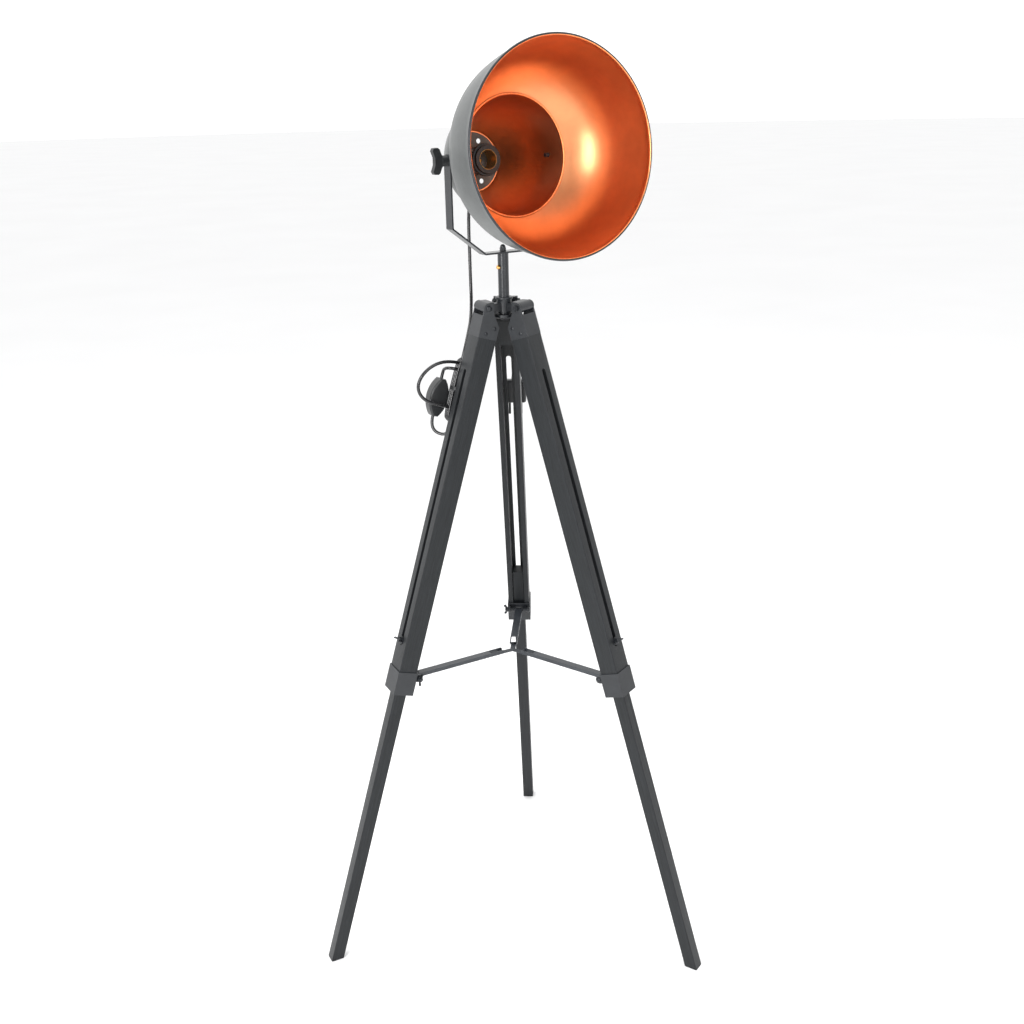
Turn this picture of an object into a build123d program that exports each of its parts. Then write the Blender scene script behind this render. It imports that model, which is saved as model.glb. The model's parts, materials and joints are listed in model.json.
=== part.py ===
"""Tripod floor lamp: three folding two-stage legs, a swivelling yoke and a tilting metal shade.

Millimetres. +Z is up and the origin is the point of the floor under the column's axis. The rear
leg stands towards +Y, and the two front legs stand 120 degrees to each side of it.
"""

from build123d import *
from math import pi, cos, hypot, radians, sin, tan
import os

# ---- leg spread and hub -------------------------------------------------------------------
SPLAY = 16.7            # degrees from the vertical to an open leg
LEG_AZIMUTH = {"rear": 90, "left": 210, "right": 330}
PIVOT_R = 33.0          # leg pivot bolt, from the column's axis
PIVOT_Z = 1036.0        # leg pivot bolt, above the floor
LEG_INSET = 8.4         # the leg's middle plane lies this far inside its pivot bolt
HUB_R = 10.5            # round middle of the hub casting
HUB_TOP = 1040.0
HUB_BOTTOM = 1025.0
LUG_WEB = 12.0
LUG_INNER_R = 23.0
LUG_R = 8.0             # rounded end of a lug, round the pivot bolt

# ---- column -------------------------------------------------------------------------------
COLUMN_R = 8.0
COLUMN_TOP = 1112.0
COLLAR_R = 13.0
COLLAR_NECK_R = 11.0
COLLAR_HEIGHT = 8.5
COLLAR_FLANGE = 3.0
SPIGOT_R = 6.0
SPIGOT_LENGTH = 52.0
CLAMP_DISC_R = 17.0
CLAMP_DISC_RIM = 4.0
CLAMP_DISC_CONE = 4.0
CLAMP_DISC_GAP = 1.5
SET_SCREW_Z = 1092.0
SET_SCREW_AZIMUTH = 222.0
SET_SCREW_HEAD_R = 3.4
SET_SCREW_HEAD = 4.0
SET_SCREW_R = 1.9

# ---- legs ---------------------------------------------------------------------------------
LEG_WIDTH = 36.0        # across the leg, along its pivot bolt
LEG_DEPTH = 30.0        # through the leg, from its outer face to its open side
LEG_WEB = 5.0           # outer wall of the channel
LEG_EDGE = 1.2          # rounding of the long edges
CHANNEL_WIDTH = 19.6
CHANNEL_TOP = 62.0      # distances down the leg from the pivot bolt
SLOT_WIDTH = 8.0
SLOT_TOP = 94.0
SLOT_BOTTOM = 532.0
TONGUE_TOP = 22.5
BRACKET_WALL = 3.0
BRACKET_BOTTOM = 43.5
BRACKET_WEB_TOP = 11.5
CHEEK_SHOULDER = 24.0
COLLAR_TOP = 570.0
COLLAR_BOTTOM = 608.0
COLLAR_WALL = 1.5
COLLAR_SHELF = 2.0
STAGE_WIDTH = 19.0      # lower leg, across
STAGE_DEPTH = 20.0      # lower leg, through
STAGE_TOP = 505.5
WING_BOLT = 523.5
WING_BOLT_R = 3.0
WING_BOLT_DEPTH = 12.0
WING_FLANGE_R = 6.5
WING_FLANGE = 1.5
WING_SPAN = 10.0        # from the bolt's axis to a wing's tip
WING_HEIGHT = 9.0
WING_THICK = 2.0
WING_HUB_R = 4.2
WING_HUB = 5.0
WING_ROOT = 3.0

# ---- spreader -----------------------------------------------------------------------------
EAR_BOLT = 579.4        # distance down the leg from the pivot bolt
EAR_BOLT_INSET = 21.5   # inside the leg's middle plane
EAR_GAP = 30.0
EAR_WALL = 2.0
EAR_R = 6.0
HUB_PIN_R = 20.0        # spreader hinge pins, from the column's axis
HUB_PIN = 1.5           # their radius
SPREADER_Z = 478.6
ARM_WIDTH = 12.0
ARM_HEIGHT = 6.0
ARM_WALL = 1.2
ARM_CUTBACK = 21.0      # the channel's top stops this far short of the hub pin
PLATE_THICK = 2.0
PLATE_WIDTH = 8.5
PLATE_LIP = 1.4
SLEEVE_R = 4.0

# ---- yoke and shade -----------------------------------------------------------------------
YAW = 35.5              # the shade's heading, from -Y towards +X
TILT = 6.0              # the shade's rise above level
TILT_Z = 1245.6         # tilt axis above the floor
YOKE_WIDTH = 18.0
YOKE_THICK = 2.5
YOKE_HALF = 87.5        # outer face of an upright, from the column's axis
YOKE_FOOT = 34.0        # half of the flat foot
YOKE_BEND_Z = 1152.0
CAP_NUT_ACROSS = 8.0
CAP_NUT_HEIGHT = 5.0
YOKE_STUD_R = 2.4
PIVOT_R_SHADE = 3.0     # tilt pivot screws
BUSH_R = 7.0
KNOB_NECK_R = 7.5
KNOB_NECK = 9.0
KNOB_WEB = 8.0          # thickness of the knob's wings
KNOB_WING = [(-1.0, 6.5), (1.0, 9.5), (3.5, 16.0), (6.5, 18.0), (12.5, 17.5), (14.5, 14.0), (11.0, 5.0)]
SHEET = 1.2             # spun metal of the shade
BOWL_NECK = 7.0
LIP_BEAD_R = 1.1
LIP_T = 37.0            # distances along the shade's axis from the tilt axis
LIP_R = 83.0
RIM_T = 162.0
RIM_R = 142.5
BEAD_R = 1.6
BACK_T = -81.0
BACK_R = 42.0
BOWL_OUTLINE = [(44.0, 95.0), (54.0, 107.0), (66.0, 117.5), (80.0, 125.5), (98.0, 131.5), (128.0, 137.5)]
CUP_OUTLINE = [(12.0, 82.4), (-10.0, 79.6), (-30.0, 73.2), (-50.0, 63.0), (-68.0, 51.5)]
VENT_COUNT = 8
VENT_R = 3.5
VENT_RING_R = 31.0

# ---- lamp holder (E27) --------------------------------------------------------------------
HOLDER_R = 20.0
HOLDER_LENGTH = 44.0
HOLDER_MOUTH_R = 13.6   # wall radius for the E27 lamp cap
HOLDER_BORE_DEPTH = 26.0
LINER_WALL = 0.4
RING_R = 23.5
RING_THICK = 6.0
CONTACT_SIZE = (9.0, 4.0, 1.0)
CONTACT_RISE = 3        # times the strip's thickness, from the pocket to the button's top

# ---- supply lead --------------------------------------------------------------------------
CORD_R = 2.5
GLAND_LENGTH = 24.0
GLAND_R = 5.5
GLAND_SEAT_Y = -16.0
GLAND_LEAN = 20.0       # degrees from straight down to the gland's direction
TILT_SPLIT_R = 113.0    # the lead divides here, round the tilt axis
SWIVEL_SPLIT_Z = 1072.0
LEAD_POINTS = [
    (-55.5, 76.5, 1168.0), (-56.6, 77.5, 1138.0), (-56.2, 76.0, 1104.0), (-55.8, 71.5, 1066.0),
    (-54.5, 62.0, 1032.0), (-54.5, 43.0, 1007.0), (-57.0, 20.5, 990.5),
]
PLUG_LEAD_POINTS = [
    (-52.0, 15.0, 982.5), (-46.5, 30.0, 988.5), (-37.5, 46.5, 990.5), (-26.0, 63.5, 987.5),
    (-13.0, 80.5, 978.5), (-1.5, 95.5, 962.0), (5.0, 107.5, 941.0),
]
LOOP_POINTS = [
    (22.0, -28.3, -90.0), (44.0, -27.0, -98.5), (58.5, -27.0, -114.5), (63.0, -29.0, -132.5),
    (57.0, -30.0, -147.0), (42.0, -29.5, -156.5), (22.0, -28.3, -158.0),
]
SWITCH_LEAD_POINTS = [(18.0, -28.3, -100.0), (20.0, -43.0, -104.0), (18.0, -49.0, -111.0)]
TAIL_POINTS = [(18.0, -49.0, -190.0), (12.0, -42.5, -201.5), (-1.0, -32.5, -202.5), (-6.0, -28.3, -192.0)]
HANK_X = (-22.0, 8.0)   # the hank's box on the left leg
HANK_Z = (-182.0, -80.0)
HANK_THICK = 20.0
HANK_ROUND = 6.0
LEAD_MEETS_X = 1.0      # where the leads meet the hank's top
PLUG_LEAD_MEETS_X = -5.5
HANK_GAP = 0.5          # the leads stop this far above the hank, which swings with its leg
STRAIGHT_END = 15.0     # straight run of a lead at the hank or the plug
GLAND_RUN = 12.0        # and at the gland
TIE_Z = -131.0
TIE_HEIGHT = 5.0
TIE_THICK = 1.2
SWITCH_SIZE = (30.0, 20.0, 58.0)
SWITCH_CENTRE = (18.0, -49.0, -149.0)
BUTTON_SIZE = (14.0, 24.0)
BUTTON_PROUD = 3.0
BUTTON_DEPTH = 6.0
PLUG_SIZE = (35.0, 14.0, 38.0)
PLUG_CENTRE = (6.0, 113.0)      # it hangs upright behind the rear leg, clear of the wing bolt's path
PLUG_TOP = 898.0
PLUG_NECK = 18.0
PLUG_NECK_R = 4.0
PLUG_ROUND = 4.0
PIN_R = 2.0
PIN_LENGTH = 19.0
PIN_SPACING = 18.6

# ---- fits and fasteners -------------------------------------------------------------------
RUN = 0.1               # running fit, each side
CLEAR = 0.3             # clearance between parts that pass each other
BOLT_R = 2.5
BOLT_HEAD_R = 4.5
BOLT_HEAD = 3.0
NUT_ACROSS = 8.0
NUT_HEIGHT = 3.5
SCREW_R = 1.6
SCREW_HEAD_R = 3.0
SCREW_HEAD = 1.2
SCREW_LENGTH = 10.0
SCREW_SPOTS = [(-16.0, -27.0), (-4.0, -37.0)]
DOME_FALL = 0.7         # how much of a domed head's height its rim falls

# ---- worked out from the sizes above ------------------------------------------------------
MIDDLE = Align.CENTER
LOW = Align.MIN
ON_BASE = (MIDDLE, MIDDLE, LOW)
LEG_OUTER = LEG_DEPTH / 2 - LEG_INSET
LEG_INNER = LEG_OUTER - LEG_DEPTH
STAGE_OUTER = LEG_OUTER - LEG_WEB - RUN
STAGE_INNER = STAGE_OUTER - STAGE_DEPTH
EAR_X = -LEG_INSET - EAR_BOLT_INSET
EAR_OUT = EAR_GAP / 2 + EAR_WALL
HANK_Y = -LEG_WIDTH / 2 - CLEAR - HANK_THICK / 2
CLAMP_DISC_TOP = HUB_BOTTOM - CLAMP_DISC_GAP
CLAMP_DISC_BOTTOM = CLAMP_DISC_TOP - CLAMP_DISC_RIM - CLAMP_DISC_CONE
COLLAR_TOP_Z = HUB_TOP + COLLAR_HEIGHT
YOKE_PLACE = Rot(0, 0, YAW)
SHADE_PLACE = (
    YOKE_PLACE
    * Pos(0, 0, TILT_Z)
    * Rot(-TILT, 0, 0)
    * Plane(origin=(0, 0, 0), x_dir=(1, 0, 0), z_dir=(0, -1, 0)).location
)


# ---- helpers ------------------------------------------------------------------------------
def block(x, y, z):
    """A box between two corners, each axis given as (low, high)."""
    size = [high - low for low, high in (x, y, z)]
    return Pos(x[0], y[0], z[0]) * Box(*size, align=(LOW, LOW, LOW))


def rod(radius, start, along, length):
    """A cylinder that starts at a point and runs along a direction."""
    return Plane(origin=start, z_dir=along).location * Cylinder(radius, length, align=ON_BASE)


def hexagon(across, start, along, length):
    """A hexagonal prism, such as a nut or a bolt head."""
    outline = Plane(origin=start, z_dir=along) * RegularPolygon(across / 2, 6, major_radius=False)
    return extrude(outline, length)


def dome_head(radius, height, start, along):
    """A screw head with a rounded top."""
    fall = height * DOME_FALL
    ball = (radius**2 + fall**2) / (2 * fall)
    head = Cylinder(radius, height, align=ON_BASE) & Pos(0, 0, height - ball) * Sphere(ball)
    return Plane(origin=start, z_dir=along).location * head


def turned(outline):
    """A solid of revolution round Z from (radius, height) corners."""
    return revolve(make_face(Polyline(*[(r, 0, z) for r, z in outline], close=True)), Axis.Z)


def leg_place(name):
    """A leg's own frame at its pivot bolt: X out of the leg, Y across it and Z up it."""
    return Rot(0, 0, LEG_AZIMUTH[name]) * Pos(PIVOT_R, 0, PIVOT_Z) * Rot(0, -SPLAY, 0)


def in_leg(name, point):
    """A point of a leg's own frame, in the lamp's frame."""
    return (leg_place(name) * Pos(*point)).position


def save(name, *shapes):
    """Writes a sub-part's solids to its own STEP file."""
    solids = [solid for shape in shapes for solid in shape.solids()]
    export_step(solids[0] if len(solids) == 1 else Compound(solids), f"parts/{name}.step")


# ---- stand: hub, column and their fasteners -----------------------------------------------
def hub_body():
    hub = Pos(0, 0, HUB_BOTTOM) * Cylinder(HUB_R, HUB_TOP - HUB_BOTTOM, align=ON_BASE)
    half_lug = LEG_WIDTH / 2 - BRACKET_WALL - CLEAR
    for azimuth in LEG_AZIMUTH.values():
        web = block((0, PIVOT_R), (-LUG_WEB / 2, LUG_WEB / 2), (PIVOT_Z - LUG_R, HUB_TOP))
        lug = block((LUG_INNER_R, PIVOT_R), (-half_lug, half_lug), (PIVOT_Z - LUG_R, PIVOT_Z + LUG_R))
        lug += rod(LUG_R, (PIVOT_R, -half_lug, PIVOT_Z), (0, 1, 0), 2 * half_lug)
        arm = web + lug - rod(BOLT_R, (PIVOT_R, -LEG_WIDTH, PIVOT_Z), (0, 1, 0), 2 * LEG_WIDTH)
        hub += Rot(0, 0, azimuth) * arm
    return hub - rod(COLUMN_R, (0, 0, HUB_BOTTOM - 1), (0, 0, 1), HUB_TOP - HUB_BOTTOM + 2)


def hub_clamp_disc():
    return turned([
        (COLUMN_R, CLAMP_DISC_TOP), (CLAMP_DISC_R, CLAMP_DISC_TOP),
        (CLAMP_DISC_R, CLAMP_DISC_TOP - CLAMP_DISC_RIM),
        (COLUMN_R + SHEET, CLAMP_DISC_BOTTOM), (COLUMN_R, CLAMP_DISC_BOTTOM),
    ])


def column_collar():
    top, base = COLLAR_TOP_Z, HUB_TOP
    return turned([
        (COLUMN_R, base), (COLLAR_NECK_R, base), (COLLAR_NECK_R, top - COLLAR_FLANGE),
        (COLLAR_R, top - COLLAR_FLANGE), (COLLAR_R, top), (COLUMN_R, top),
    ])


def set_screw_axis():
    """The set screw's seat on the column's wall, and the way it points."""
    turn = radians(SET_SCREW_AZIMUTH)
    outward = Vector(cos(turn), sin(turn), 0)
    return outward * COLUMN_R + Vector(0, 0, SET_SCREW_Z), outward


def column_tube():
    length = COLUMN_TOP - CLAMP_DISC_BOTTOM
    tube = rod(COLUMN_R, (0, 0, CLAMP_DISC_BOTTOM), (0, 0, 1), length)
    tube -= rod(SPIGOT_R + RUN, (0, 0, CLAMP_DISC_BOTTOM - 1), (0, 0, 1), length + 2)
    seat, outward = set_screw_axis()
    return tube - rod(SET_SCREW_R + RUN, seat - outward * COLUMN_R, outward, 2 * COLUMN_R)


def column_set_screw():
    seat, outward = set_screw_axis()
    wall = COLUMN_R - SPIGOT_R - RUN
    head = dome_head(SET_SCREW_HEAD_R, SET_SCREW_HEAD, seat + outward * RUN, outward)
    return head + rod(SET_SCREW_R, seat - outward * wall, outward, wall + SET_SCREW_HEAD / 2)


def pivot_bolts():
    pieces = []
    for azimuth in LEG_AZIMUTH.values():
        face = LEG_WIDTH / 2 + RUN
        shank = rod(BOLT_R - RUN, (PIVOT_R, -face - NUT_HEIGHT - 1, PIVOT_Z), (0, 1, 0), 2 * face + NUT_HEIGHT + 2)
        bolt = shank + dome_head(BOLT_HEAD_R, BOLT_HEAD, (PIVOT_R, face, PIVOT_Z), (0, 1, 0))
        nut = hexagon(NUT_ACROSS, (PIVOT_R, -face, PIVOT_Z), (0, -1, 0), NUT_HEIGHT)
        nut -= rod(BOLT_R - RUN, (PIVOT_R, 0, PIVOT_Z), (0, -1, 0), LEG_WIDTH)
        pieces += [Rot(0, 0, azimuth) * bolt, Rot(0, 0, azimuth) * nut]
    return pieces


# ---- legs, each modelled in its own frame -------------------------------------------------
def leg_bracket():
    outline = Plane.XZ * Polygon(
        (LEG_INNER, -BRACKET_BOTTOM), (LEG_OUTER, -BRACKET_BOTTOM), (LEG_OUTER, -LUG_R * 0.55),
        (-LUG_R * 0.94, -LUG_R * 0.34), (LEG_INNER, -CHEEK_SHOULDER), align=None,
    )
    outline += Plane.XZ * Circle(LUG_R)
    cheeks = extrude(outline, LEG_WIDTH / 2, both=True)
    inside = LEG_WIDTH / 2 - BRACKET_WALL
    web = LEG_OUTER - BRACKET_WALL
    cheeks -= block((LEG_INNER - 1, web), (-inside, inside), (-BRACKET_BOTTOM - 1, LUG_R + 1))
    cheeks -= block((web - 1, LUG_R + LEG_OUTER), (-inside, inside), (-BRACKET_WEB_TOP, LUG_R + 1))
    cheeks -= rod(BOLT_R, (0, -LEG_WIDTH, 0), (0, 1, 0), 2 * LEG_WIDTH)
    for x, z in SCREW_SPOTS:
        cheeks -= rod(SCREW_R, (x, -LEG_WIDTH, z), (0, 1, 0), 2 * LEG_WIDTH)
    return cheeks


def bracket_screws():
    screws = []
    for side in (-1, 1):
        for x, z in SCREW_SPOTS:
            face = (x, side * LEG_WIDTH / 2, z)
            head = dome_head(SCREW_HEAD_R, SCREW_HEAD, face, (0, side, 0))
            screws.append(head + rod(SCREW_R, face, (0, -side, 0), SCREW_LENGTH))
    return screws


def upper_leg():
    half = LEG_WIDTH / 2
    bottom = -COLLAR_BOTTOM + COLLAR_SHELF
    leg = block((LEG_INNER, LEG_OUTER), (-half, half), (bottom, -BRACKET_BOTTOM))
    leg = fillet(leg.edges().filter_by(Axis.Z), LEG_EDGE)
    tongue = half - BRACKET_WALL
    leg += block((LEG_INNER, LEG_OUTER - BRACKET_WALL), (-tongue, tongue), (-BRACKET_BOTTOM, -TONGUE_TOP))
    channel = CHANNEL_WIDTH / 2
    leg -= block((LEG_INNER - 1, LEG_OUTER - LEG_WEB), (-channel, channel), (bottom - 1, -CHANNEL_TOP))
    slot = SLOT_WIDTH / 2
    leg -= block((-LEG_DEPTH, LEG_DEPTH), (-slot, slot), (-SLOT_BOTTOM + slot, -SLOT_TOP - slot))
    for end in (-SLOT_TOP - slot, -SLOT_BOTTOM + slot):
        leg -= rod(slot, (-LEG_DEPTH, 0, end), (1, 0, 0), 2 * LEG_DEPTH)
    for side in (-1, 1):
        for x, z in SCREW_SPOTS:
            leg -= rod(SCREW_R, (x, side * half, z), (0, -side, 0), SCREW_LENGTH + RUN)
    return leg


def leg_collar():
    half, wall = LEG_WIDTH / 2, COLLAR_WALL
    sleeve = block(
        (LEG_INNER - wall, LEG_OUTER + wall), (-half - wall, half + wall), (-COLLAR_BOTTOM, -COLLAR_TOP)
    )
    sleeve -= block((LEG_INNER, LEG_OUTER), (-half, half), (-COLLAR_BOTTOM + COLLAR_SHELF, -COLLAR_TOP + 1))
    stage = STAGE_WIDTH / 2 + RUN
    sleeve -= block((STAGE_INNER - RUN, STAGE_OUTER + RUN), (-stage, stage), (-COLLAR_BOTTOM - 1, -COLLAR_TOP))
    for side in (-1, 1):
        sheet = sorted((side * EAR_GAP / 2, side * EAR_OUT))
        ear = block((EAR_X, LEG_INNER - wall / 2), sheet, (-EAR_BOLT - EAR_R, -EAR_BOLT + EAR_R))
        ear += rod(EAR_R, (EAR_X, sheet[0], -EAR_BOLT), (0, 1, 0), EAR_WALL)
        sleeve += ear - rod(BOLT_R, (EAR_X, sheet[0] - 1, -EAR_BOLT), (0, 1, 0), EAR_WALL + 2)
    return sleeve


def spreader_bolt():
    """The bolt across a collar's ears, and the two sleeves that centre the spreader arm on it."""
    shank = rod(BOLT_R - RUN, (EAR_X, -EAR_OUT, -EAR_BOLT), (0, 1, 0), 2 * EAR_OUT + WING_HUB + 2)
    bolt = shank + dome_head(BOLT_HEAD_R, BOLT_HEAD, (EAR_X, -EAR_OUT, -EAR_BOLT), (0, -1, 0))
    sleeves = []
    for side in (-1, 1):
        start = (EAR_X, side * (ARM_WIDTH / 2 + CLEAR), -EAR_BOLT)
        length = EAR_GAP / 2 - ARM_WIDTH / 2 - CLEAR
        sleeve = rod(SLEEVE_R, start, (0, side, 0), length)
        sleeves.append(sleeve - rod(BOLT_R - RUN / 2, start, (0, side, 0), length))
    return [bolt, *sleeves]


def wings():
    """A wing head that stands on Z = 0: a short hub with two rounded wings along X."""
    head = Cylinder(WING_HUB_R, WING_HUB, align=ON_BASE)
    for side in (-1, 1):
        wing = Plane.XZ * Polygon(
            (0, WING_ROOT), (side * WING_HUB_R, WING_ROOT), (side * WING_SPAN, WING_HEIGHT * 0.62),
            (side * WING_SPAN * 0.86, WING_HEIGHT), (side * WING_SPAN * 0.62, WING_HEIGHT * 0.92),
            (side * WING_HUB_R * 0.8, WING_HUB), (0, WING_HUB), align=None,
        )
        head += extrude(wing, WING_THICK / 2, both=True)
    return head


def spreader_wing_nut():
    seat = Plane(origin=(EAR_X, EAR_OUT + RUN, -EAR_BOLT), x_dir=(0, 0, 1), z_dir=(0, 1, 0)).location
    return seat * (wings() - rod(BOLT_R, (0, 0, -1), (0, 0, 1), WING_HEIGHT + 2))


def leg_wing_bolt():
    seat = Plane(origin=(LEG_OUTER + RUN, 0, -WING_BOLT), x_dir=(0, 1, 0), z_dir=(1, 0, 0)).location
    bolt = Cylinder(WING_FLANGE_R, WING_FLANGE, align=ON_BASE) + Pos(0, 0, WING_FLANGE / 2) * wings()
    reach = LEG_WEB + RUN + WING_BOLT_DEPTH
    return seat * (bolt + rod(WING_BOLT_R, (0, 0, WING_FLANGE / 2), (0, 0, -1), reach))


def lower_leg(name):
    half = STAGE_WIDTH / 2
    long_enough = (PIVOT_Z + LEG_DEPTH) / cos(radians(SPLAY))
    stage = block((STAGE_INNER, STAGE_OUTER), (-half, half), (-long_enough, -STAGE_TOP))
    stage = fillet(stage.edges().filter_by(Axis.Z), LEG_EDGE)
    stage -= rod(WING_BOLT_R + RUN, (STAGE_OUTER, 0, -WING_BOLT), (-1, 0, 0), WING_BOLT_DEPTH + 1)
    placed = leg_place(name) * stage
    reach = PIVOT_Z
    return placed - block((-reach, reach), (-reach, reach), (-reach, 0))


# ---- spreader -----------------------------------------------------------------------------
def ear_point():
    """The ear bolt's distance from the column's axis, and its height."""
    point = Pos(PIVOT_R, 0, PIVOT_Z) * Rot(0, -SPLAY, 0) * Pos(EAR_X, 0, -EAR_BOLT)
    return point.position.X, point.position.Z


def spreader_arm():
    """A channel, open below, from a collar's ears to the hub; its hub pin is a solid of its own."""
    ear_r, ear_z = ear_point()
    run, rise = ear_r - HUB_PIN_R, SPREADER_Z - ear_z
    length = hypot(run, rise)
    seat = Plane(origin=(ear_r, 0, ear_z), x_dir=(-run, 0, rise), z_dir=(0, 1, 0)).location
    half, width = ARM_HEIGHT / 2, ARM_WIDTH / 2
    bar = extrude(Pos(length / 2, 0) * SlotCenterToCenter(length, ARM_HEIGHT), width, both=True)
    inner = width - ARM_WALL
    up = 1 if (seat * Pos(0, 1, 0)).position.Z > ear_z else -1
    low, high = sorted((-up * ARM_HEIGHT, up * (half - ARM_WALL)))
    bar -= block((-ARM_HEIGHT, length + ARM_HEIGHT), (low, high), (-inner, inner))
    bar -= block((length - ARM_CUTBACK, length + ARM_HEIGHT), (-ARM_HEIGHT, ARM_HEIGHT), (-inner, inner))
    bar -= block((-ARM_HEIGHT, ARM_HEIGHT), (-ARM_HEIGHT, ARM_HEIGHT), (-inner, inner))
    bar -= rod(BOLT_R, (0, 0, -ARM_WIDTH), (0, 0, 1), 2 * ARM_WIDTH)
    bar -= rod(HUB_PIN, (length, 0, -ARM_WIDTH), (0, 0, 1), 2 * ARM_WIDTH)
    pin = rod(HUB_PIN, (length, 0, -width), (0, 0, 1), ARM_WIDTH)
    return [seat * bar, seat * pin]


def spreader_hub():
    """A three-armed plate under the hub pins, with a lip outside each pin."""
    top = SPREADER_Z - HUB_PIN - CLEAR
    half = PLATE_WIDTH / 2
    lip_r = HUB_PIN_R + HUB_PIN + CLEAR
    plate = Pos(0, 0, top - PLATE_THICK) * Cylinder(half, PLATE_THICK, align=ON_BASE)
    for azimuth in LEG_AZIMUTH.values():
        strip = block((0, lip_r + PLATE_LIP), (-half, half), (top - PLATE_THICK, top))
        strip += block((lip_r, lip_r + PLATE_LIP), (-half, half), (top - PLATE_THICK, SPREADER_Z + CLEAR))
        plate += Rot(0, 0, azimuth) * strip
    return plate


# ---- yoke ---------------------------------------------------------------------------------
def yoke_line(half, bottom, bend, top):
    return [(-half, top), (-half, bend), (-YOKE_FOOT, bottom), (YOKE_FOOT, bottom), (half, bend), (half, top)]


def yoke():
    """A bent strip with rounded ends, drilled for the stud and the two tilt pivots."""
    outer = yoke_line(YOKE_HALF, COLUMN_TOP, YOKE_BEND_Z, TILT_Z)
    slope = (YOKE_BEND_Z - COLUMN_TOP) / (YOKE_HALF - YOKE_FOOT)
    shift = YOKE_THICK * (hypot(1, slope) - slope)      # where the upright's inner face meets the slope's
    foot = YOKE_THICK * (hypot(1, slope) - 1) / slope
    inner = [
        (-YOKE_HALF + YOKE_THICK, TILT_Z), (-YOKE_HALF + YOKE_THICK, YOKE_BEND_Z + shift),
        (-YOKE_FOOT + foot, COLUMN_TOP + YOKE_THICK), (YOKE_FOOT - foot, COLUMN_TOP + YOKE_THICK),
        (YOKE_HALF - YOKE_THICK, YOKE_BEND_Z + shift), (YOKE_HALF - YOKE_THICK, TILT_Z),
    ]
    face = make_face(Polyline(*[(x, 0, z) for x, z in outer + inner[::-1]], close=True))
    strip = extrude(face, YOKE_WIDTH / 2, both=True, dir=(0, 1, 0))
    for side in (-1, 1):
        strip += rod(YOKE_WIDTH / 2, (side * YOKE_HALF, 0, TILT_Z), (-side, 0, 0), YOKE_THICK)
        strip -= rod(PIVOT_R_SHADE + RUN, (side * (YOKE_HALF + 1), 0, TILT_Z), (-side, 0, 0), YOKE_THICK + 2)
    strip -= rod(YOKE_STUD_R, (0, 0, COLUMN_TOP - 1), (0, 0, 1), YOKE_THICK + 2)
    return YOKE_PLACE * strip


def yoke_spigot():
    """The pin that turns in the column, with the stud that carries the yoke."""
    pin = rod(SPIGOT_R, (0, 0, COLUMN_TOP), (0, 0, -1), SPIGOT_LENGTH)
    return pin + rod(YOKE_STUD_R, (0, 0, COLUMN_TOP), (0, 0, 1), YOKE_THICK + CAP_NUT_HEIGHT)


def yoke_cap_nut():
    base = COLUMN_TOP + YOKE_THICK
    nut = hexagon(CAP_NUT_ACROSS, (0, 0, base), (0, 0, 1), CAP_NUT_HEIGHT)
    nut += dome_head(CAP_NUT_ACROSS / 2, CAP_NUT_HEIGHT, (0, 0, base + CAP_NUT_HEIGHT), (0, 0, 1))
    return nut - rod(YOKE_STUD_R, (0, 0, base - 1), (0, 0, 1), CAP_NUT_HEIGHT + 1)


def tilt_knob(side):
    """A moulded knob with two wings on a short neck, and the pivot screw moulded into it."""
    start = YOKE_HALF + RUN
    neck = rod(KNOB_NECK_R, (start, 0, 0), (1, 0, 0), KNOB_NECK)
    outline = [(x, z) for x, z in KNOB_WING] + [(x, -z) for x, z in KNOB_WING[::-1]]
    wings = Pos(start + KNOB_NECK, 0, 0) * extrude(Plane.XZ * Polygon(*outline, align=None), KNOB_WEB / 2, both=True)
    pivot = LIP_R - KNOB_NECK_R
    screw = rod(PIVOT_R_SHADE, (pivot, 0, 0), (1, 0, 0), start + KNOB_NECK - pivot)
    turned_over = Rot(0, 0, 0 if side > 0 else 180)
    return YOKE_PLACE * Pos(0, 0, TILT_Z) * turned_over * (neck + wings + screw)


# ---- shade, modelled in its own frame: X across, Y up and Z forwards ----------------------
def wall_lines(outline, thick):
    """The inner and outer lines of a spun sheet, from the (along, radius) points of its inner line."""
    line = Spline(*[(r, 0, t) for t, r in outline])
    inner, outer = [], []
    for t, r in outline:
        point = Vector(r, 0, t)
        along = line.tangent_at(line.param_at_point(point))
        outward = Vector(abs(along.Z), 0, -along.X if along.Z > 0 else along.X)
        inner.append(point)
        outer.append(point + outward.normalized() * thick)
    return Spline(*inner), Spline(*outer)


def shell(outline, thick):
    inner, outer = wall_lines(outline, thick)
    return revolve(make_face([inner, Line(inner @ 1, outer @ 1), outer, Line(outer @ 0, inner @ 0)]), Axis.Z)


def filled(outline, thick):
    """Everything inside the outer line of a spun sheet."""
    outer = wall_lines(outline, thick)[1]
    top, bottom = outer @ 0, outer @ 1
    axis = [Line(bottom, (0, 0, bottom.Z)), Line((0, 0, bottom.Z), (0, 0, top.Z)), Line((0, 0, top.Z), top)]
    return revolve(make_face([outer, *axis]), Axis.Z)


def bowl_line():
    return [(LIP_T, LIP_R + SHEET), *BOWL_OUTLINE, (RIM_T, RIM_R)]


def cup_line():
    return [(LIP_T, LIP_R), *CUP_OUTLINE, (BACK_T, BACK_R)]


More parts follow.
